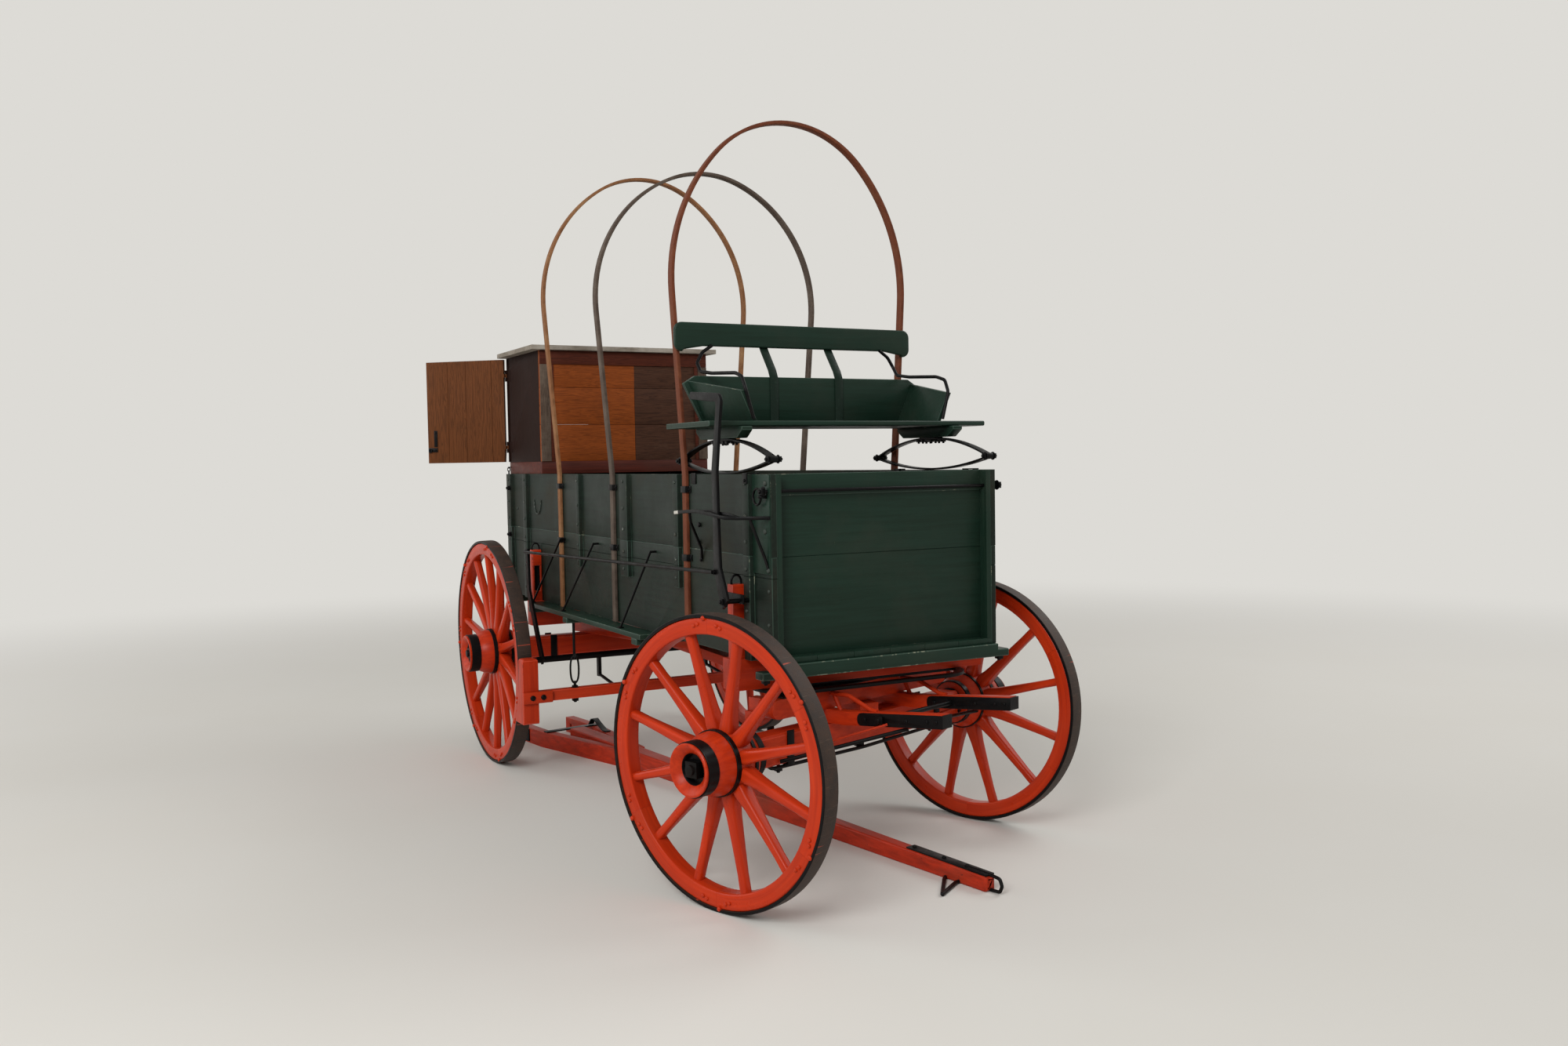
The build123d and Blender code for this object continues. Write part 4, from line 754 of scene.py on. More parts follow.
def rim_bolts(wheel_r, joints):
    """small heads in pairs each side of a felloe joint, and a large one beside it at the tyre"""
    outer_r = wheel_r - TYRE_T - 0.3
    small = [turn_z(joint + off) @ Matrix.Translation(((outer_r - back) / 1000, 0, FELLOE_HALF / 1000))
             for joint in joints for off, back in ((-0.135, 27), (-0.095, 22), (0.095, 22), (0.135, 27))]
    large = [turn_z(joint + 0.03)
             @ Matrix.Translation(((wheel_r - 14) / 1000, 0, (FELLOE_HALF - 4) / 1000)) for joint in joints]
    return [copies(round_head(6.5, 6), small), copies(round_head(9, 13), large)]


for name, wheel_r, spokes, felloes in (("front_right", FRONT_R, 12, 6), ("front_left", FRONT_R, 12, 6),
                                       ("rear_right", REAR_R, 14, 7), ("rear_left", REAR_R, 14, 7)):
    body = f"{name}_wheel"
    place = wheel_place(body)
    inner_r, outer_r = wheel_r - TYRE_T - FELLOE_DEPTH, wheel_r - TYRE_T - 0.3
    hub = turned(HUB_WOOD, 64)
    arms = copies(spoke(inner_r), [turn_z(angle) for angle in ring_of(spokes, 0.5)])
    # the felloes meet with a hair's gap
    rim = copies(felloe(inner_r, outer_r, 2 * pi / felloes - 0.0009),
                 [turn_z(angle) for angle in ring_of(felloes)])
    wood = joined([hub, arms, rim, *rim_bolts(wheel_r, ring_of(felloes, 0.5))])
    for face in wood.data.polygons:
        in_black_cup = face.center.xy.length < CUP_BLACK_R / 1000 and face.center.z > CUP_BLACK_Z / 1000
        face.material_index = 1 if in_black_cup else 0
    pieces = ((wood, "wheel_wood", [wheel_red, black_iron], "red_paint", (f"wheel_{name}",)),
              (tyre(wheel_r), "tyre_iron", [tyre_iron, black_iron], "tyre_iron", (f"tyre_{name}",)),
              (hub_bands(), "hub_bands", [black_iron], "black_iron", ()))
    for piece, kind, finishes, slot, stands_for in pieces:
        piece.data.transform(place)
        dress(piece, f"{kind}_{name}", finishes, body, stands_for)


# Front gear. Its pieces are made facing ahead and then turned about the kingpin as far as it is steered
STEER = radians(19)
HOUND_Y = 210               # middle of each hound, each way
HOUND_TOP = (120, 621, 0.0909)          # up to this X the hounds' top is this high, ahead of it it climbs
JAW_BACK_X, JAW_FACE = 190, 28.5        # back end of the jaw plates, and their outer faces from the hound
CLIP_Y = 440                # where the clips hold the axles, each way
steered = Matrix.Translation(spot(0, 0, 0)) @ turn_z(STEER) @ Matrix.Translation(-spot(0, 0, 0))


def in_gear(p):
    """a place in millimetres seen in the front gear's own frame"""
    return turn_z(-STEER).to_3x3() @ p


def round_off_jaws(irons):
    """round the back ends of the four jaw plates"""
    def at_back(p):
        q = in_gear(p)
        return abs(q.x - JAW_BACK_X) < 1 and abs(abs(q.y) - HOUND_Y) < 40

    pick_pairs(irons, lambda a, b: at_back(a) and at_back(b) and abs(in_gear(a - b).y) > 4)
    bpy.ops.mesh.bevel(offset=0.019, segments=5)
    done()


def is_brace(p):
    """whether a place is on the plain braces above the hounds, which the bent ones below stand for"""
    q = in_gear(p)
    start_x, top_z, climb = HOUND_TOP
    return abs(q.y) > HOUND_Y - 20 and q.x > 42 and top_z + climb * max(q.x - start_x, 0) < q.z < 694


def fit_gear_irons(irons):
    """round jaws, and no plain braces"""
    round_off_jaws(irons)
    take_off(irons, is_brace)


def truss_rod(x, end, bend, middle_z):
    """an axle's truss rod, with the Y and Z of its ends and of its bends"""
    (end_y, end_z), (bend_y, bend_z) = end, bend
    return rod(((x, -end_y, end_z), (x, -bend_y, bend_z), (x, 0, middle_z), (x, bend_y, bend_z),
                (x, end_y, end_z)), 7, 40)


def axle_clip(x, y, low, high):
    """a flat iron bent round the underside of an axle"""
    back, ahead = x - 49, x + 49
    return strap(((back, y, high), (back, y, low), (ahead, y, low), (ahead, y, high)), (0, 1, 0), 34, 5)


planed("front_gear_irons", [black_iron], 1, work=fit_gear_irons)
braces = []
for side in (-1, 1):
    y = side * HOUND_Y
    braces.append(rod(((46, y, 678), (128, y, 678), (236, y, 634), (262, y, 634)), 8.5, 30))
    braces.append(rod(((58, y, 676), (90, y, 618)), 8.5, 30))
fitted("front_hound_braces", braces, red["x"], "front_gear", steered)
for part, grain, arris in (("front_axle", "y", 3), ("sand_bolster", "y", 5), ("front_hounds", "x", 3)):
    planed(part, [red[grain], red_arris], arris)
planed("front_axle_arms", [black_iron], 1)
planed("tongue_pin", [black_iron], 1)

truss = [truss_rod(22, (556, 478), (512, 447), 437)]
for side in (-1, 1):
    truss.append(axle_clip(0, side * CLIP_Y, 457, 578))
    truss.append(rod(((0, side * 455, 460), (0, side * 455, 424)), 6))
    truss.append(copies(square_nut(22, 12), [facing((0, side * 455, 440), (0, 0, -1))]))
fitted("front_axle_truss_and_clips", truss, black_iron, "front_gear", place=steered)

ties = [rod(((50, side * 400, 500), (62, side * 392, 500), (330, side * 240, 601)), 5, 10)
        for side in (-1, 1)]
fitted("hound_ties", ties, red["x"], "front_gear", steered)

jaw_bolts = [facing((x, side * (HOUND_Y + face * JAW_FACE), z), (0, side * face, 0))
             for x, z in ((226, 605), (412, 622), (500, 630), (540, 634))
             for side in (-1, 1) for face in (-1, 1)]
fitted("jaw_plate_bolts", [copies(round_head(7, 6), jaw_bolts)], black_iron, "front_gear", place=steered)


# Rear gear, bolsters and brake beam
STAKE_HALF, LOOP_Z = 22, 1100           # half the stakes' width, and middle of the iron loops over them
SLOT_Z = (866, 1018)        # foot and top of the slots in the rear stakes
SHOE_Y, SHOE_HALF = 755, 38             # middle and half width of the brake blocks
SHOE_FRONT_X, SHOE_FOOT_Z, SHOE_TOP_Z = -1745, 300, 615
KEEPER_X, KEEPER_Z, KEEPER_THICK = -1736, 430, 18       # the boards across the front of the blocks
HANGER_X = -1770            # the rods that hold up the brake beam
GRIP_Z = 1745               # the end of the lever lies above this


def slot_stakes(bolster):
    """a deep slot in the lower half of each stake, front and back"""
    low, high = SLOT_Z
    for z in SLOT_Z:
        edit(bolster, "EDGE", "SELECT")
        bpy.ops.mesh.bisect(plane_co=spot(0, 0, z), plane_no=(0, 0, 1))
        done()
    for way in (-1, 1):
        pick(bolster, "FACE", lambda p: (abs(p.x - REAR_AXLE_X - way * STAKE_HALF) < 0.5
                                         and low - 1 < p.z < high + 1 and abs(p.y) > STAKE_Y - 26))
        bpy.ops.mesh.inset(thickness=0.011, use_individual=True)
        draw_out(-0.018 * way, 0, 0)
        done()


def in_shaded_slot(p, normal):
    """whether a face is inside a slot, which is painted black as painted shade in the recess"""
    low, high = SLOT_Z
    return (abs(abs(p.y) - STAKE_Y) < 20 and low + 6 < p.z < high - 6
            and abs(p.x - REAR_AXLE_X) < STAKE_HALF - 5)


def round_block(block):
    """round the block's top corners, then its forward corners"""
    def top_side(p):
        return abs(p.z - SHOE_TOP_Z) < 1 and abs(abs(abs(p.y) - SHOE_Y) - SHOE_HALF) < 1

    def top_front(p):
        return p.x > SHOE_FRONT_X - 1 and p.z > SHOE_TOP_Z - 17

    def foot_front(p):
        return p.x > SHOE_FRONT_X - 1 and abs(p.z - SHOE_FOOT_Z) < 1

    for corner, reach, count in ((top_side, 0.016, 4), (top_front, 0.014, 4), (foot_front, 0.012, 3)):
        pick(block, "EDGE", corner)
        bpy.ops.mesh.bevel(offset=reach, segments=count)
        done()


def round_grip(lever):
    """ease the lever's top into a grip"""
    pick_pairs(lever, lambda a, b: a.z > GRIP_Z and b.z > GRIP_Z and abs(a.y - b.y) > 4)
    bpy.ops.mesh.bevel(offset=0.012, segments=4)
    done()


def without_hangers(shaft):
    """take away the plain hanger bars, which the links below stand for"""
    take_off(shaft, lambda p: abs(abs(p.y) - 540) < 7 and abs(p.x - HANGER_X) < 16)


stakes = planed("rear_bolster", [red["y"], black_iron, red_arris], 4, work=slot_stakes)
# the slots' insides are painted black, a painted shade in the recess
paint_faces(stakes, 1, in_shaded_slot)
for part, grain, arris in (("front_bolster", "y", 4), ("rear_axle", "y", 3), ("reach", "x", 4),
                           ("rear_hounds", "x", 3), ("brake_beam", "y", 3)):
    planed(part, [red[grain], red_arris], arris)
blocks = planed("brake_blocks", [red["z"], block_worn, red_arris], 6, 3, round_block)
paint_faces(blocks, 1, lambda p, normal: normal.x < -0.3)
planed("brake_lever", [black_iron], 2.5, 3, round_grip)
for part in ("rear_axle_arms", "bolster_ring", "kingpin", "box_irons", "seat_springs", "brake_rod"):
    planed(part, [black_iron], 1)

rear_truss = [truss_rod(REAR_AXLE_X + 22, (562, 535), (520, 506), 498)]
rear_truss += [axle_clip(REAR_AXLE_X, side * CLIP_Y, 520, 640) for side in (-1, 1)]
fitted("rear_axle_truss_and_clips", rear_truss, black_iron)

# an iron loop over each stake, a little more than half a ring
loops = []
for x in (0, REAR_AXLE_X):
    for side in (-1, 1):
        loops.append(rod([(x, side * (STAKE_Y + 20 * cos(a)), LOOP_Z + 26 * sin(a))
                          for a in [pi * (k - 1) / 8 for k in range(11)]], 4.5, 6))
fitted("stake_loops", loops, black_iron)

keepers = joined([strap(((KEEPER_X, side * 652, KEEPER_Z), (KEEPER_X, side * 797, KEEPER_Z)),
                        (0, 0, 1), 56, KEEPER_THICK, 4) for side in (-1, 1)])
grain_along(keepers, lambda p: (p.y, p.x, p.z))
dress(keepers, "brake_block_keepers", [red["y"]], "wagon")
block_bolts = [facing((KEEPER_X + KEEPER_THICK / 2, side * y, KEEPER_Z), (1, 0, 0))
               for side in (-1, 1) for y in (700, 752)]
fitted("brake_block_bolts", [copies(round_head(13, 8), block_bolts)], black_iron)

planed("brake_shaft", [black_iron], 1, work=without_hangers)
hangers = []
for side in (-1, 1):
    x, y = HANGER_X, side * 528
    # a hooked rod, a link in it, and a bolt from the link down through the beam with its two nuts
    hangers.append(rod(((x, y, 772), (x, y, 612), (x + 14, y, 596), (x + 26, y, 606), (x + 22, y, 622)),
                       7, 5))
    hangers.append(rod(((x, y - 22, 596), (x, y, 612), (x, y + 22, 596), (x, y + 22, 492), (x, y, 470),
                        (x, y - 22, 492)), 5, closed=True))
    hangers.append(rod(((x, y, 486), (x, y, 392)), 7))
    hangers.append(copies(square_nut(26, 14), [facing((x, y, 405), (0, 0, -1))]))
    hangers.append(copies(square_nut(24, 8), [facing((x, y, 455), (0, 0, 1))]))
fitted("brake_beam_links", hangers, black_iron)


# Box. Each side is boards with their joints, and cleats that the bolts go through
SIDE_SEAM_Z, END_SEAM_Z = 1124, 1196    # the seams along the lower sides and across the ends
BARE_X, BARE_Y = 189, 464               # the floor is bare behind the one and between the other, each way
SEAT_BACK_X = -366.5                    # where the seat's end panels meet its back panel
CLEATS = ((-2895, True), (-2600, True), (-1740, False), (-1135, False), (-560, False), (70, True))
FACING_Y = -BOX_FACE - 3                # middle of the thin board on the right front corner


def side_joints(boards):
    """the seam along a lower side, and two butt joints in the board below it"""
    groove(boards, (0, 0, SIDE_SEAM_Z), (0, 0, 1), lambda p: True)
    for x in (-1555, -840):
        groove(boards, (x, 0, 0), (1, 0, 0), lambda p: p.z < SIDE_SEAM_Z - 6)


def end_joint(boards):
    """the seam across an end"""
    groove(boards, (0, 0, END_SEAM_Z), (0, 0, 1), lambda p: True)


def toe_in_seat_ends(panels):
    """the seat's ends stand closer together, most of all at the front, and the back panel ends on them"""
    for side in (-1, 1):
        # the back panel's ends come in a little at the foot and more at the top
        for low, high, inward in ((1680, 1690, 38), (1830, 1880, 78)):
            move(panels, lambda p: p.x < SEAT_BACK_X - 0.4 and side * p.y > 490 and low < p.z < high,
                 (0, -side * inward, 0))
        # the end panels come in most at their front edges
        for x, inward in ((-25, 52), (SEAT_BACK_X, 20)):
            move(panels, lambda p: abs(p.x - x) < 0.49 and 440 < side * p.y < 550, (0, -side * inward, 0))


def part_floor(floor):
    """cut the floor where the box stands on it, for its painted margins"""
    edit(floor, "EDGE")
    for place, way in (((BARE_X, 0, 0), (1, 0, 0)), ((0, -BARE_Y, 0), (0, 1, 0)), ((0, BARE_Y, 0), (0, 1, 0))):
        bpy.ops.mesh.select_all(action="SELECT")
        bpy.ops.mesh.bisect(plane_co=spot(*place), plane_no=way)
    done()


def on_margin(p, normal):
    """whether a face of the floor is its painted margin, edge or underside"""
    return normal.z < 0.5 or p.x > BARE_X - 4 or abs(p.y) > BARE_Y + 16


for part, grain, arris, joints in (("corner_posts", "z", 2, None), ("front_end", "y", 2, end_joint),
                                   ("tail_end", "y", 2, end_joint), ("box_sills", "y", 4, None),
                                   ("side_planks", "x", 2.5, None), ("seat_risers", "x", 3, None),
                                   ("seat_board", "y", 2.5, None)):
    planed(part, [green[grain], green_arris], arris, joints=joints)
planed("seat_panels", [green["y"], green_arris], 2, work=toe_in_seat_ends)
for part, joints in (("lower_side_left", side_joints), ("lower_side_right", side_joints),
                     ("upper_side_left", None), ("upper_side_right", None)):
    planed(part, [side_green, green_arris], 2, joints=joints)
floor = planed("box_floor", [floor_bare, green["x"]], 2, work=part_floor)
paint_faces(floor, 1, on_margin)

board_bolts = []
for x, whole in CLEATS:
    # a whole cleat reaches the foot of the box, the others end a little below the seam
    heights = (1458, 1340, 1248, 1150, *((1000, 880) if whole else (1075,)))
    board_bolts += [facing((x, side * CLEAT_FACE, z), (0, side, 0)) for side in (-1, 1) for z in heights]
board_bolts += [facing((x, side * BOX_FACE, z), (0, side, 0))
                for x, z in ((208, 1079), (205, 960), (206, 876), (-2790, 1300)) for side in (-1, 1)]
board_bolts += [facing((x, BOX_FACE, z), (0, 1, 0)) for x, z in ((203, 1458), (197, 1289), (193, 1160))]
# the bolt heads are painted grey, a painted highlight on black iron
fitted("side_board_bolts", [copies(round_head(7, 5), board_bolts)], bolt_painted_highlight)

facing_board = strap(((96, FACING_Y, 1314), (229, FACING_Y, 1314)), (0, 0, 1), 350, 5, 1)
fitted("corner_facing_board", [facing_board], green["x"])
corner_bolts = [facing((x, FACING_Y - 2, z), (0, -1, 0)) for x, z in ((203, 1458), (197, 1289), (218, 1153))]
# these heads are painted grey too, a painted highlight on black iron
fitted("corner_board_bolts", [copies(round_head(9, 7), corner_bolts)], bolt_painted_highlight)

eye = [rod(((206, -486, 1411), (206, -500, 1411)), 6),
       rod([(204 + 11 * cos(a), -508 + 11 * sin(a), 1411) for a in ring_of(8)], 4.5, closed=True),
       rod([(168 + 31 * cos(a), -507, 1411 + 30 * sin(a)) for a in ring_of(10)], 4.5, closed=True)]
fitted("corner_eye_and_ring", eye, black_iron)

nuts = [facing((-2872, side * CLEAT_FACE, z), (0, side, 0)) for side in (-1, 1) for z in (1412, 1154)]
nuts += [facing((215, side * (CLEAT_FACE + 4), 772), (0, 0, -1)) for side in (-1, 1)]
nuts += [facing((214, side * CLEAT_FACE, 1430), (0, side, 0)) for side in (-1, 1)]
fitted("box_rod_nuts", [copies(square_nut(24, 12), nuts)], black_iron)

# the handle is painted grey, a painted highlight on black iron
drop_handle = rod(((-2480, -488, 1352), (-2470, -489, 1306), (-2440, -490, 1280), (-2402, -490, 1280),
                   (-2372, -489, 1306), (-2362, -488, 1352)), 3, 24)
fitted("side_drop_handle", [drop_handle], bolt_painted_highlight)


# Brake lever guide and bracket
HIGHLIGHT_X = -286             # behind this the guide bars are painted near white, a painted highlight
PIVOT_X, PIVOT_Z = 84, 1040
outer_bar = ((-330, -606, 1346), (-284, -609, 1349), (-230, -612, 1352), (-113, -613, 1358),
             (2, -613, 1349), (120, -611, 1339), (160, -580, 1338), (228, -494, 1338), (229, -488, 1338))
inner_bar = ((-330, -600, 1346), (-284, -594, 1349), (-230, -589, 1352), (-40, -588, 1358),
             (26, -588, 1353), (118, -590, 1348), (160, -572, 1338))
guide = joined([strap(outer_bar, (0, 0, 1), 13, 8, 2.5), strap(inner_bar, (0, 0, 1), 12, 7, 2.5)])
# the bars' rear ends take the near-white finish, a painted highlight
paint_faces(guide, 1, lambda p, normal: p.x < HIGHLIGHT_X)
dress(guide, "lever_guide_bars", [black_iron, white_painted_highlight], "wagon")

stay_bolts = [facing((x, -489, z), (0, -1, 0)) for x, z in ((-348, 1161), (-366, 1226), (-360, 1294))]
stays = [rod(((-232, -588, 1349), (-240, -580, 1310), (-330, -496, 1203), (-345, -489, 1163)), 5.5),
         rod(((186, -546, 1334), (205, -500, 1200), (218, -491, 1153)), 5.5),
         copies(round_head(10, 8), stay_bolts)]
fitted("lever_guide_stays", stays, black_iron, stands_for=("brake_ratchet",))

pivot = [rod(((PIVOT_X, -486, PIVOT_Z), (PIVOT_X, -618, PIVOT_Z)), 9),
         copies(square_nut(22, 8), [facing((PIVOT_X, -606, PIVOT_Z), (0, -1, 0))])]
fitted("lever_pivot_bolt", pivot, black_iron)
bracket = [strap(((-60, -541, 1047), (118, -541, 1047)), (0, 0, 1), 34, 6),
           strap(((-34, -543, 1047), (-34, -480, 1047)), (0, 0, 1), 30, 5)]
fitted("lever_bracket", bracket, black_iron)


# Backrest: a board with round corners, its lower edge raised between the ends
REST_X, REST_THICK = -444, 22
INNER_STEP, OUTER_STEP = 125, 40        # how far from the ends its lower edge steps up
rest_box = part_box("backrest")
low, high = (corner.z * 1000 for corner in map(Vector, rest_box))
reach = rest_box[1][1] * 1000
rest = new_shape(bpy.ops.mesh.primitive_plane_add, (2 * reach / 1000, (high - low) / 1000, 1), size=1,
                 location=spot(REST_X, 0, (low + high) / 2), rotation=(pi / 2, 0, pi / 2))
edit(rest, "VERT", "SELECT")
bpy.ops.mesh.bevel(offset=0.032, segments=6, affect="VERTICES")
for y in (OUTER_STEP - reach, INNER_STEP - reach, reach - INNER_STEP, reach - OUTER_STEP):
    bpy.ops.mesh.select_all(action="SELECT")
    bpy.ops.mesh.bisect(plane_co=spot(0, y, 0), plane_no=(0, 1, 0))
done()
for step, rise in ((INNER_STEP, 14), (OUTER_STEP, 8)):
    move(rest, lambda p: abs(p.y) < reach - step + 1 and p.z < low + 20, (0, 0, rise))
use_modifier(rest, "SOLIDIFY", thickness=REST_THICK / 1000, offset=0)
use_modifier(rest, "BEVEL", width=0.006, segments=3, limit_method="ANGLE", angle_limit=radians(60))
smooth(rest, 35)
dress(rest, "backrest_board", [green["y"]], "wagon", ("backrest",))


# Hoops and their staples
STAPLE_Z = (1430, 1160)
STAPLE = ((-40, 487.4), (-22.5, 487.4), (-21.5, 502), (21.5, 502), (22.5, 487.4), (40, 487.4))


def hoop_grain(spring):
    """grain that runs up each leg and, above the spring of the bend in metres, round it"""
    def along(p):
        bend = 0.56 * atan2(max(p.z - spring, 0), abs(p.y))
        leg = 0.2 if p.y > 0 else -0.2
        return min(p.z, spring) + bend, p.x, leg + p.xy.length * 0.01
    return along


for part, finish, spring in (("bow_rear", hoop_rear, 2.350), ("bow_middle", hoop_middle, 2.270),
                             ("bow_front", hoop_front_warm_lit, 2.250)):
    grain_along(planed(part, [finish], 2.5), hoop_grain(spring))
staples = [strap([(x + a, side * b, z) for a, b in STAPLE], (0, 0, 1), 26, 4)
           for x in HOOP_X for side in (-1, 1) for z in STAPLE_Z]
fitted("hoop_staples", staples, black_iron)
staple_bolts = [facing((x + a, side * 489.4, z), (0, side, 0))
                for x in HOOP_X for side in (-1, 1) for z in STAPLE_Z for a in (-32, 32)]
fitted("hoop_staple_bolts", [copies(round_head(5, 4), staple_bolts)], black_iron)


# Seat
SPRING_Y = 466              # middle of each spring, each way
BACK_STRAP = ((-330, 1688), (-362, 1690), (-363.5, 1704), (-363.5, 1868), (-378, 1898), (-440, 1978),
              (-458, 2004), (-458, 2066))
arm_rods = []
for side in (-1, 1):
    arm_rods.append(rod(((-428, side * 390, 1994), (-430, side * 432, 1966), (-426, side * 456, 1925),
                         (-396, side * 456, 1889), (-300, side * 453, 1876), (-100, side * 450, 1864),
                         (-44, side * 452, 1848), (-19, side * 450, 1800), (-17, side * 420, 1692)), 7, 26))
fitted("seat_arm_rods", arm_rods, black_iron, stands_for=("seat_irons",))
back_straps = [strap([(x, y, z) for x, z in BACK_STRAP], (0, 1, 0), 36, 5) for y in (-150, 150)]
fitted("seat_back_straps", back_straps, green_iron)
seat_iron = []
for side in (-1, 1):
    y = side * SPRING_Y
    # a bolt through the eyes at both ends of a spring
    for x in (-550, 220):
        seat_iron.append(rod(((x, y - 26, 1542), (x, y + 26, 1542)), 6))
        seat_iron.append(copies(square_nut(20, 9), [facing((x, y + 17, 1542), (0, 1, 0)),
                                                    facing((x, y - 17, 1542), (0, -1, 0))]))
    # a plate under the crown of the upper leaves, with nuts in pairs ahead of its middle and behind it
    seat_iron.append(strap(((-210, y, 1611), (-120, y, 1611)), (0, 1, 0), 44, 6))
    for x in (-225, -195, -135, -105):
        seat_iron.append(copies(square_nut(16, 9), [facing((x, y - 19, 1614), (0, 0, -1)),
                                                    facing((x, y + 19, 1614), (0, 0, -1))]))
    # hooks over the top of the box, one round a cleat and one on the bare side
    for x, outer, foot, width in ((78, 508, 1456, 36), (-410, 487.5, 1452, 40)):
        seat_iron.append(strap(((x, side * outer, foot), (x, side * outer, RAVE_Z + 3),
                                (x, side * 458, RAVE_Z + 3), (x, side * 458, 1420)), (1, 0, 0), width, 4))
    seat_iron.append(copies(round_head(6, 5), [facing((78, side * 510, 1468), (0, side, 0))]))
fitted("seat_clips_and_hooks", seat_iron, black_iron)


# Cupboard
FRONT_X, FOOT_Z, HEAD_Z = -2357, 1556, 2064     # middle of the strips on its front, their foot and head
DARK_Y = 50                 # the front's boards are dark from here to its left


def front_boards(boards):
    """level boards: one joint on the right, three on the left, and an upright joint between the two halves"""
    groove(boards, (0, 0, 1850), (0, 0, 1), lambda p: p.y < DARK_Y + 12)
    for z in (1626, 1691, 1747):
        groove(boards, (0, 0, z), (0, 0, 1), lambda p: p.y > DARK_Y - 12)
    groove(boards, (0, DARK_Y, 0), (0, 1, 0), lambda p: p.z < 2060)


front = planed("chuck_front", [front_pine, dark_pine], 2, joints=front_boards)
paint_faces(front, 1, lambda p, normal: p.y > DARK_Y)
for part, finish in (("chuck_carcass", side_pine), ("chuck_base", base_red), ("chuck_lid", lid_grey),
                     ("chuck_door_left", door_pine)):
    planed(part, [finish], 2)

trim = strap(((FRONT_X, -478, 2101), (FRONT_X, 478, 2101)), (0, 0, 1), 72, 6, 1.5)
fitted("cupboard_top_rail", [trim], rail_pine)
strips = [strap(((FRONT_X + 1, side * 452, FOOT_Z), (FRONT_X + 1, side * 452, HEAD_Z)), (0, 1, 0), 52, 8, 1.5)
          for side in (-1, 1)]
fitted("cupboard_corner_strips", strips, post_grey)
beads = [strap(((-2937, side * 481.5, FOOT_Z + 1), (-2937, side * 481.5, 2136)), (1, 0, 0), 12, 6)
         for side in (-1, 1)]
fitted("cupboard_hinge_beads", beads, side_pine)
edging = [strap(((FRONT_X, side * 415, FOOT_Z), (FRONT_X, side * 415, HEAD_Z)), (0, 1, 0), 20, 6, 1.2)
          for side in (-1, 1)]
fitted("cupboard_front_edging", edging, rail_pine)

# The open door hangs on its pin. Its ironwork is made with the door shut, then swung open with it
PIN = (-2942.5, -487, 0)
OPEN = radians(137.5)
DOOR_WIDE = 481
HASP_X = -2967
CHAIN_X, CHAIN_Y, LINK_PITCH = -2925, -491, 20  # the keeper chain hangs from the base, under the door's pin
swung = Matrix.Translation(spot(*PIN)) @ turn_z(OPEN) @ Matrix.Translation(-spot(*PIN))
door_way = turn_z(OPEN).to_3x3() @ Vector((0, 1, 0))


def widen_door(door):
    """bring the hinge edge of the door up to its hinge leaves"""
    move(door, lambda p: 5 < (p - Vector(PIN)).dot(door_way) < 12.5 and 1560 < p.z < 2131, door_way * -5)


def door_joints(door):
    """upright joints between the door's boards, at shares of its width from the pin"""
    for share in (0.17, 0.5, 0.735):
        place = Vector(PIN) + door_way * DOOR_WIDE * share + Vector((0, 0, 1840))
        groove(door, tuple(place), tuple(door_way), lambda p: True)


planed("chuck_door_right", [door_pine], 2, work=widen_door, joints=door_joints)
hasp_bolts = [facing((HASP_X - 2, y, z), (-1, 0, 0)) for y, z in ((-50, 1632), (-26, 1632), (-52, 1730))]
hasp = [strap(((HASP_X, -62, 1632), (HASP_X, -12, 1632), (HASP_X - 4, -6, 1632)), (0, 0, 1), 24, 4),
        strap(((HASP_X, -52, 1650), (HASP_X, -52, 1742)), (0, 1, 0), 20, 3),
        copies(round_head(6, 4), hasp_bolts),
        rod([(HASP_X - 7, -20 + 10 * cos(a), 1628 + 12 * sin(a)) for a in ring_of(6)], 3, closed=True)]
fitted("door_hasp", hasp, black_iron, body_of["chuck_door_right"], place=swung)

links = [rod(((CHAIN_X, -474, 1528), (CHAIN_X, -488, 1528), (CHAIN_X, -492, 1520)), 3, 4)]
for number in range(6):
    z = 1516 - LINK_PITCH * number
    across, deep = (7, 0) if number % 2 else (0, 7)
    links.append(rod([(CHAIN_X + across * a, CHAIN_Y + deep * a, z + b)
                      for a, b in ((0, 14), (1, 9), (1, -9), (0, -14), (-1, -9), (-1, 9))], 2.2, closed=True))
links.append(rod([(CHAIN_X + 15 * cos(a), CHAIN_Y, 1384 + 15 * sin(a)) for a in ring_of(8)], 2.5, closed=True))
fitted("door_keeper_chain", links, black_iron)


# Tongue. Its pieces are made along X from the pin end, then laid on the floor
TONGUE_REAR, LAY = (-2850, -320, 0), atan2(520, 3480)
PLATE_END_X, PLATE_TOP_Z, PLATE_FALL = 3037, 68.4, 0.0145       # the tip's flat iron falls with the pole
laid = Matrix.Translation(spot(*TONGUE_REAR)) @ turn_z(LAY) @ Matrix.Translation(-spot(0, 0, 0))


def on_tongue(p):
    """a place in millimetres seen in the tongue's own frame"""
    return turn_z(-LAY).to_3x3() @ (p - Vector(TONGUE_REAR))


def shorten_pole(pole):
    """the wood stops 62 mm short of the iron loop, its end rounded off"""
    pick(pole, "EDGE", lambda p: on_tongue(p).x > 3400)
    bpy.ops.transform.translate(value=turn_z(LAY).to_3x3() @ Vector((-0.062, 0, 0)))
    bpy.ops.mesh.bevel(offset=0.014, segments=4)
    done()


def open_tip(irons):
    """take away the plain cap at the tip, which the loop stands for"""
    take_off(irons, lambda p: on_tongue(p).x > 3500)


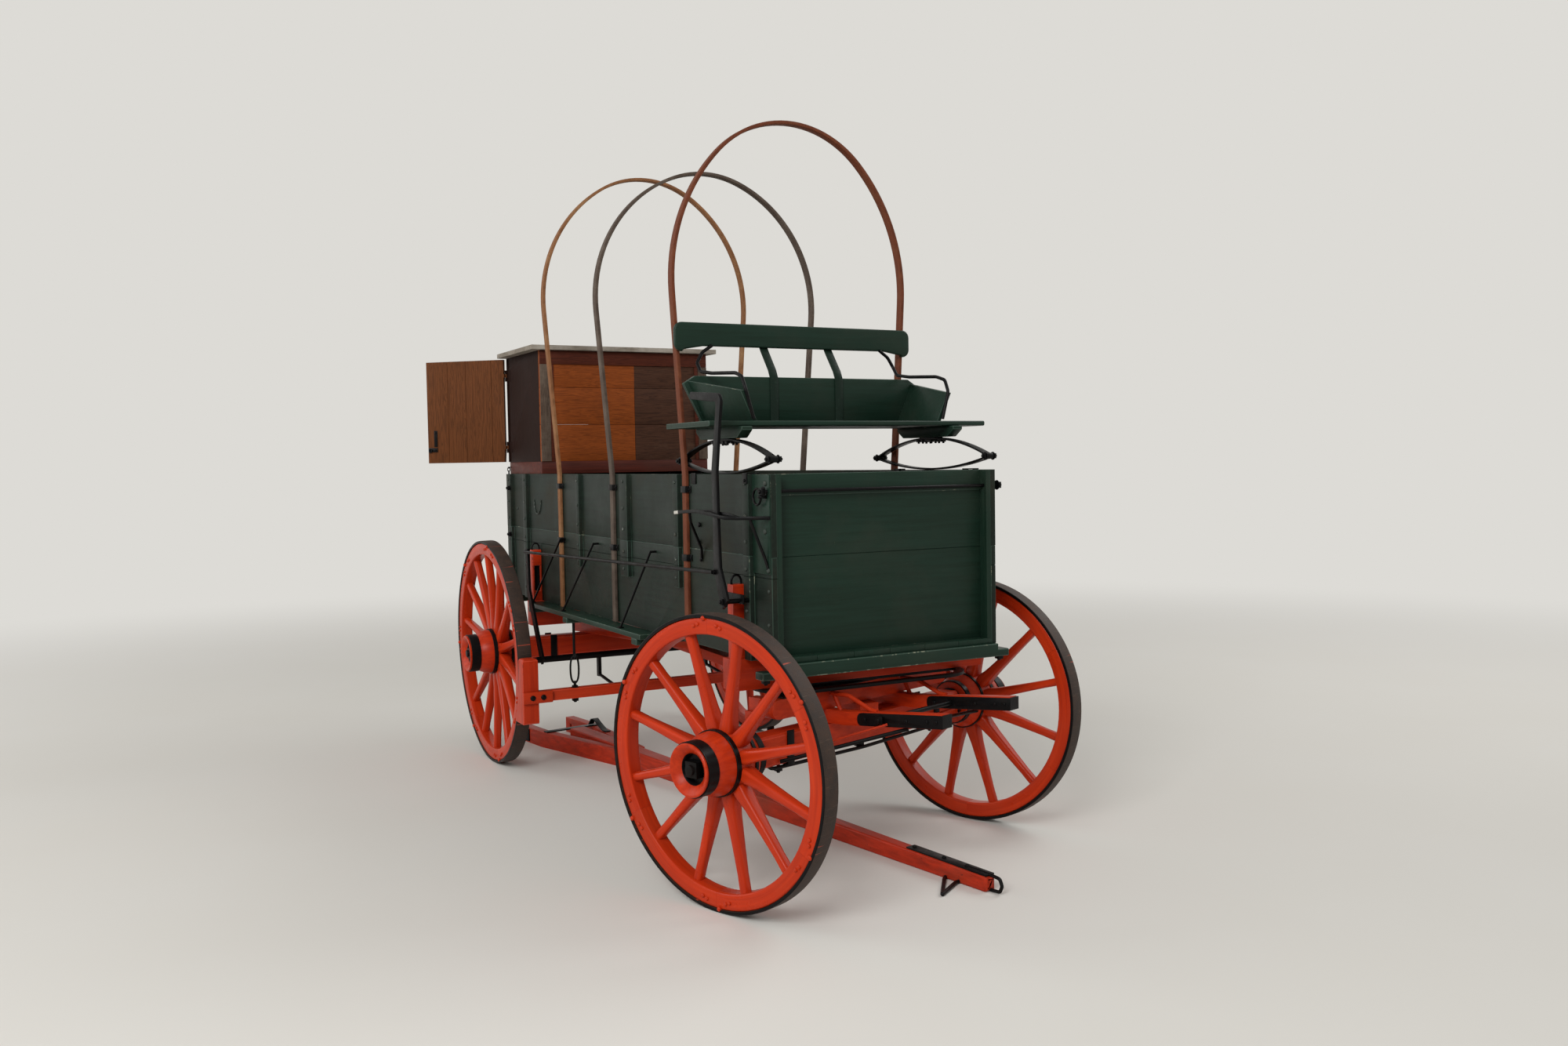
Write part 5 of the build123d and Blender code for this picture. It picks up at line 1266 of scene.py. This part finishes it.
planed("tongue_pole", [tongue_shaded_red, red_arris], 4, work=shorten_pole)
planed("tongue_fork", [tongue_shaded_red, red_arris], 4)
planed("tongue_irons", [black_iron], 1, work=open_tip)
tip_bolts = [facing((x, 0, PLATE_TOP_Z - (x - PLATE_END_X) * PLATE_FALL), (0, 0, 1))
             for x in (3060, 3220, 3340)]
tip = [strap(((PLATE_END_X, 0, 65.5), (3300, 0, 61.8), (3452, 0, 59.6)), (0, 1, 0), 44, 6),
       rod(((3330, 0, 62), (3460, 0, 60), (3500, 0, 56), (3511, 0, 32), (3500, 0, 9), (3452, 0, 7)), 6.5, 20),
       rod(((3250, -18, 8), (3262, -40, 8), (3385, -168, 8), (3322, -40, 8), (3322, -18, 8)), 7.5, 10),
       copies(round_head(9, 7), tip_bolts)]
fitted("tongue_tip_irons", tip, black_iron, body_of["tongue_pole"], place=laid)
arch = strap(((282, 118, 93), (314, 116, 126), (343, 115, 131), (392, 110, 112), (468, 104, 87),
              (505, 102, 87)), (0, 1, 0), 32, 6)
fitted("fork_arched_iron", [arch], black_iron, body_of["tongue_fork"], place=laid)


# Floor, backdrop and lamps
def seen(tree):
    """1 for rays from the camera or by way of gloss or glass, which see the backdrop's own colour"""
    rays = node(tree, "ShaderNodeLightPath", out=None)
    shown = node(tree, "ShaderNodeMath",
                 {0: rays.outputs["Is Camera Ray"], 1: rays.outputs["Is Glossy Ray"]}, operation="MAXIMUM")
    return node(tree, "ShaderNodeMath", {0: shown, 1: rays.outputs["Is Transmission Ray"]},
                operation="MAXIMUM")


def faded_floor(name, near, far):
    """matt pale lino round the wagon, seen as the backdrop's own colour further off so that no edge shows"""
    finish, tree, coords = new_finish(name)
    off = node(tree, "ShaderNodeVectorMath", {0: coords}, out="Value", operation="LENGTH")
    # the lino gives way to the backdrop between 3.5 and 11 m from the middle
    fade = node(tree, "ShaderNodeMapRange", {"Value": off, "From Min": 3.5, "From Max": 11},
                interpolation_type="SMOOTHSTEP")
    fade = node(tree, "ShaderNodeMath", {0: fade, 1: seen(tree)}, operation="MULTIPLY")
    scuff = node(tree, "ShaderNodeTexNoise", {"Vector": coords, "Scale": 0.8, "Detail": 3})
    tone = node(tree, "ShaderNodeMix", {0: scuff, 6: tint(near), 7: tint(far)}, out=2, data_type="RGBA")
    matt = node(tree, "ShaderNodeBsdfPrincipled",
                {"Base Color": tone, "Roughness": 0.75, "Specular IOR Level": 0.2})
    backdrop = node(tree, "ShaderNodeEmission", {"Color": tint(far)})
    mixed = node(tree, "ShaderNodeMixShader", {0: fade, 1: matt, 2: backdrop})
    node(tree, "ShaderNodeOutputMaterial", {"Surface": mixed}, out=None)
    return finish


BACKDROP = "#dddbd6"
bpy.ops.object.select_all(action="DESELECT")
bpy.ops.mesh.primitive_grid_add(x_subdivisions=2, y_subdivisions=2, size=80, location=(0, 0, 0))
ground = bpy.context.object
ground.name = "studio_floor"
ground.data.materials.append(faded_floor("matt_pale_lino", "#d9d6cf", BACKDROP))

for name, place, aim, size, power in (("key", (6.5, -6.5, 6.0), (-0.3, 0, 0.9), 4.0, 560),
                                      ("fill", (-4.5, -8.5, 4.5), (-0.5, 0, 1.0), 6.0, 260),
                                      ("back", (1.0, 6.5, 6.5), (-0.5, 0, 1.0), 5.0, 240)):
    bpy.ops.object.light_add(type="AREA", location=place)
    lamp = bpy.context.object
    lamp.name = f"studio_{name}"
    lamp.rotation_euler = (Vector(aim) - Vector(place)).to_track_quat("-Z", "Y").to_euler()
    lamp.data.size = size
    lamp.data.energy = power

world = bpy.data.worlds.new("studio")
bpy.context.scene.world = world
world.use_nodes = True
tree = world.node_tree
tree.nodes.clear()
light = node(tree, "ShaderNodeBackground", {"Color": tint("#f4f2ee"), "Strength": 0.42})
backdrop = node(tree, "ShaderNodeBackground", {"Color": tint(BACKDROP), "Strength": 1.0})
sky = node(tree, "ShaderNodeMixShader", {0: seen(tree), 1: light, 2: backdrop})
node(tree, "ShaderNodeOutputWorld", {"Surface": sky}, out=None)
bpy.context.scene.view_settings.view_transform = "Standard"
